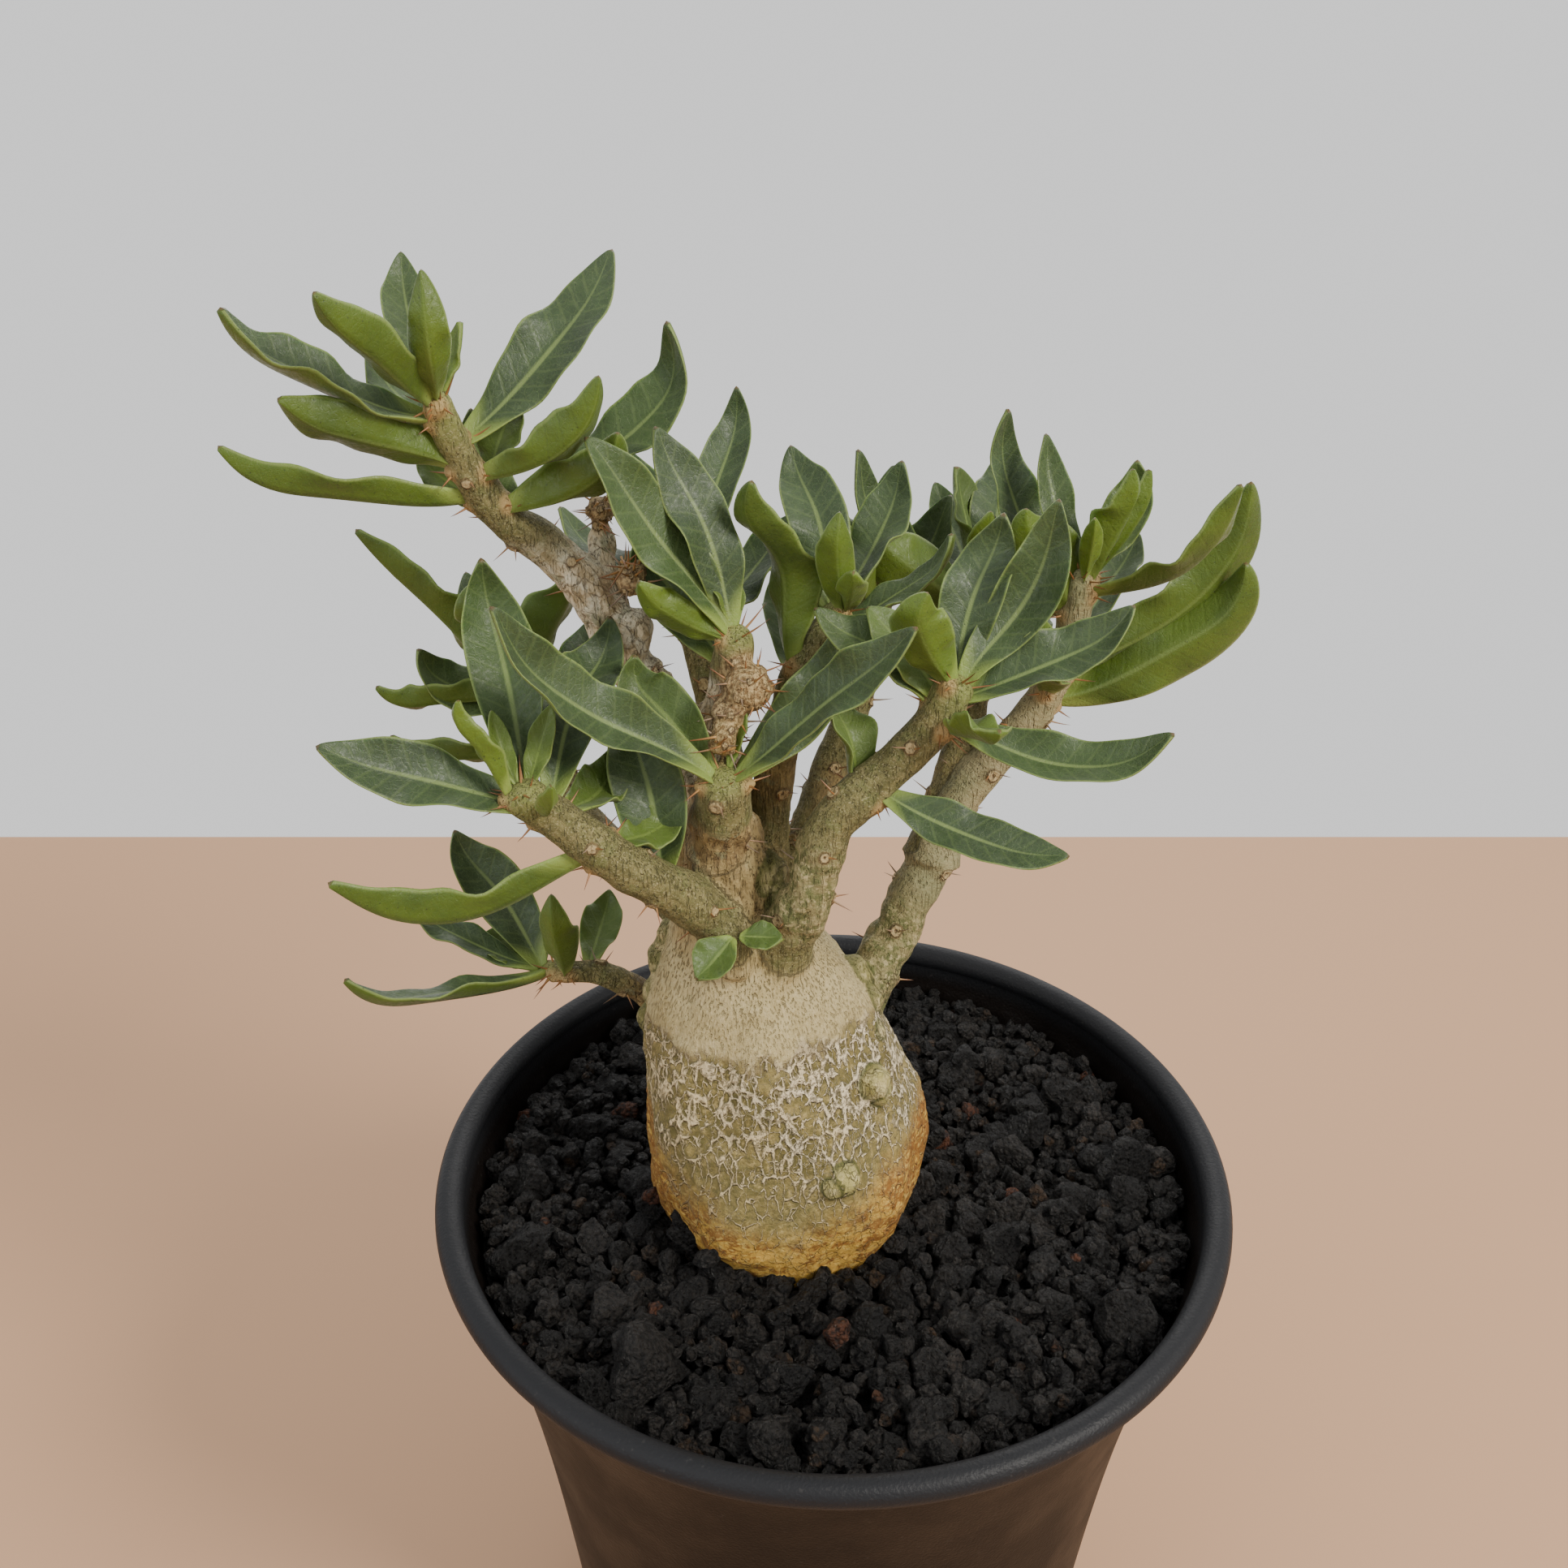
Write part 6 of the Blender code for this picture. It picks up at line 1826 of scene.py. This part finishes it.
class LeafSettings(bpy.types.PropertyGroup):
    """Shape and colours of the leaves."""

    wave: FloatProperty(
        name="Wave", description="Margin's waves as a share of the half width", default=0.27, subtype="FACTOR"
    )
    upper: colour("Upper face", "Grey-green upper face", (0.040, 0.067, 0.023))
    upper_dark: colour("Dark upper face", "Its darker parts", (0.025, 0.044, 0.015))
    upper_green: colour("Green upper face", "Upper face of the greener leaves", (0.041, 0.073, 0.015))
    bloom: colour("Bloom", "Waxy bloom on the upper face", (0.080, 0.115, 0.052))
    under: colour("Lower face", "Olive lower face", (0.068, 0.110, 0.009))
    under_dark: colour("Dark lower face", "Its darker parts", (0.042, 0.074, 0.007))
    vein: colour("Vein", "Midrib and side veins", (0.17, 0.23, 0.070))
    margin: colour("Margin", "Pale rim of the blade", (0.16, 0.21, 0.055))
    base: colour("Leaf base", "Narrow yellow-green base", (0.22, 0.29, 0.06))
    young: colour("Young leaf", "Leaves that have just opened", (0.12, 0.18, 0.014))
    speck: colour("Speck", "Brown marks", (0.03, 0.025, 0.008))
    point: colour("Point", "The blade's brown tip", (0.10, 0.05, 0.02))


class SpineSettings(bpy.types.PropertyGroup):
    """Size and colours of the spines."""

    length: FloatProperty(name="Length", description="Usual length of a spine in mm", default=3.6, min=1)
    radius: FloatProperty(name="Radius", description="Radius at its root in mm", default=0.19, min=0.05)
    root: colour("Root", "Colour at the spine's root", (0.34, 0.19, 0.06))
    shaft: colour("Shaft", "Colour along the spine", (0.22, 0.09, 0.03))
    tip: colour("Tip", "Colour at its point", (0.06, 0.025, 0.012))


class GravelSettings(bpy.types.PropertyGroup):
    """How many grains there are, and their colours."""

    fine: IntProperty(name="Fine grains", description="Grains under 2.5 mm", default=2200, min=0)
    medium: IntProperty(name="Medium grains", description="Grains of 2.5 to 4 mm", default=540, min=0)
    coarse: IntProperty(name="Coarse grains", description="Grains of 4 to 6 mm", default=110, min=0)
    black: colour("Black", "Damp black lava", (0.0050, 0.0043, 0.0037))
    grey: colour("Grey", "Drier lava", (0.021, 0.0180, 0.0155))
    brown: colour("Brown", "Brown grains", (0.040, 0.024, 0.013))
    rust: colour("Rust", "The few rust grains", (0.085, 0.030, 0.014))
    # This dust tone also stands for painted highlights on the grains' raised parts.
    dust: colour("Dust", "Fine dust in the pits", (0.030, 0.026, 0.022))


class PotSettings(bpy.types.PropertyGroup):
    """Fineness and colours of the pot."""

    steps: IntProperty(name="Steps", description="Steps round the pot", default=168, min=24)
    # Painted reflection: the wall's brown stands for the table mirrored in the black plastic; the rim's paler
    # blue-grey is a painted highlight.
    wall: colour("Wall", "Brown-black wall", (0.0040, 0.0024, 0.0017))
    rim: colour("Rim", "Black rim", (0.0120, 0.0125, 0.0142))


class StageSettings(bpy.types.PropertyGroup):
    """Floor tone and strength of the lights."""

    floor: colour("Floor", "Plain pale tan table top", (0.46, 0.27, 0.155))
    sky: FloatProperty(name="Sky", description="Strength of the light from all round", default=1.0, min=0)
    key: FloatProperty(name="Key light", description="Light on the right", default=10.5, min=0, unit="POWER")
    fill: FloatProperty(name="Fill light", description="Light on the left", default=1.8, min=0, unit="POWER")
    back: FloatProperty(name="Back light", description="Light from behind", default=2.5, min=0, unit="POWER")


class PACHYPODIUM_OT_pot(bpy.types.Operator):
    """Make the turned nursery pot with its drain holes"""

    bl_idname = "pachypodium.pot"
    bl_label = "Pot"

    def execute(self, context):
        build_pot(context)
        return {"FINISHED"}


class PACHYPODIUM_OT_gravel(bpy.types.Operator):
    """Make the bed of lava gravel and its grains"""

    bl_idname = "pachypodium.gravel"
    bl_label = "Gravel"

    def execute(self, context):
        build_gravel(context)
        return {"FINISHED"}


class PACHYPODIUM_OT_bark(bpy.types.Operator):
    """Make the bark of the caudex, the trunk and the branches as one skin"""

    bl_idname = "pachypodium.bark"
    bl_label = "Bark"

    def execute(self, context):
        build_bark(context)
        return {"FINISHED"}


class PACHYPODIUM_OT_leaves(bpy.types.Operator):
    """Make the leaves of every stem and of the sprout"""

    bl_idname = "pachypodium.leaves"
    bl_label = "Leaves"

    def execute(self, context):
        build_leaves(context)
        return {"FINISHED"}


class PACHYPODIUM_OT_spines(bpy.types.Operator):
    """Make the paired spines at leaf cushions and scars"""

    bl_idname = "pachypodium.spines"
    bl_label = "Spines"

    def execute(self, context):
        build_spines(context)
        return {"FINISHED"}


class PACHYPODIUM_OT_stage(bpy.types.Operator):
    """Make the floor, the lights and the camera"""

    bl_idname = "pachypodium.stage"
    bl_label = "Stage"

    def execute(self, context):
        build_stage(context)
        return {"FINISHED"}


class PACHYPODIUM_PT_panel(bpy.types.Panel):
    """Sizes, colours and one button for each piece"""

    bl_idname = "PACHYPODIUM_PT_panel"
    bl_label = "Pachypodium"
    bl_space_type = "VIEW_3D"
    bl_region_type = "UI"
    bl_category = "Pachypodium"

    def draw(self, context):
        for group, (kind, operator) in GROUPS.items():
            self.layout.operator(operator.bl_idname)
            for name in kind.__annotations__:
                self.layout.prop(getattr(context.scene, PREFIX + group), name)


PREFIX = "pachypodium_"  # of every group of settings in the scene
# Each group's settings and operator, in the order that they are built in
GROUPS = {
    "pot": (PotSettings, PACHYPODIUM_OT_pot),
    "gravel": (GravelSettings, PACHYPODIUM_OT_gravel),
    "bark": (BarkSettings, PACHYPODIUM_OT_bark),
    "leaves": (LeafSettings, PACHYPODIUM_OT_leaves),
    "spines": (SpineSettings, PACHYPODIUM_OT_spines),
    "stage": (StageSettings, PACHYPODIUM_OT_stage),
}
CLASSES = [kind for pair in GROUPS.values() for kind in pair] + [PACHYPODIUM_PT_panel]


def register():
    for kind in CLASSES:
        bpy.utils.register_class(kind)
    for group, (settings, operator) in GROUPS.items():
        setattr(bpy.types.Scene, PREFIX + group, PointerProperty(type=settings))


def unregister():
    for group in GROUPS:
        delattr(bpy.types.Scene, PREFIX + group)
    for kind in reversed(CLASSES):
        bpy.utils.unregister_class(kind)


def main():
    register()
    for group in GROUPS:
        getattr(bpy.ops.pachypodium, group)()


if __name__ == "__main__":
    main()
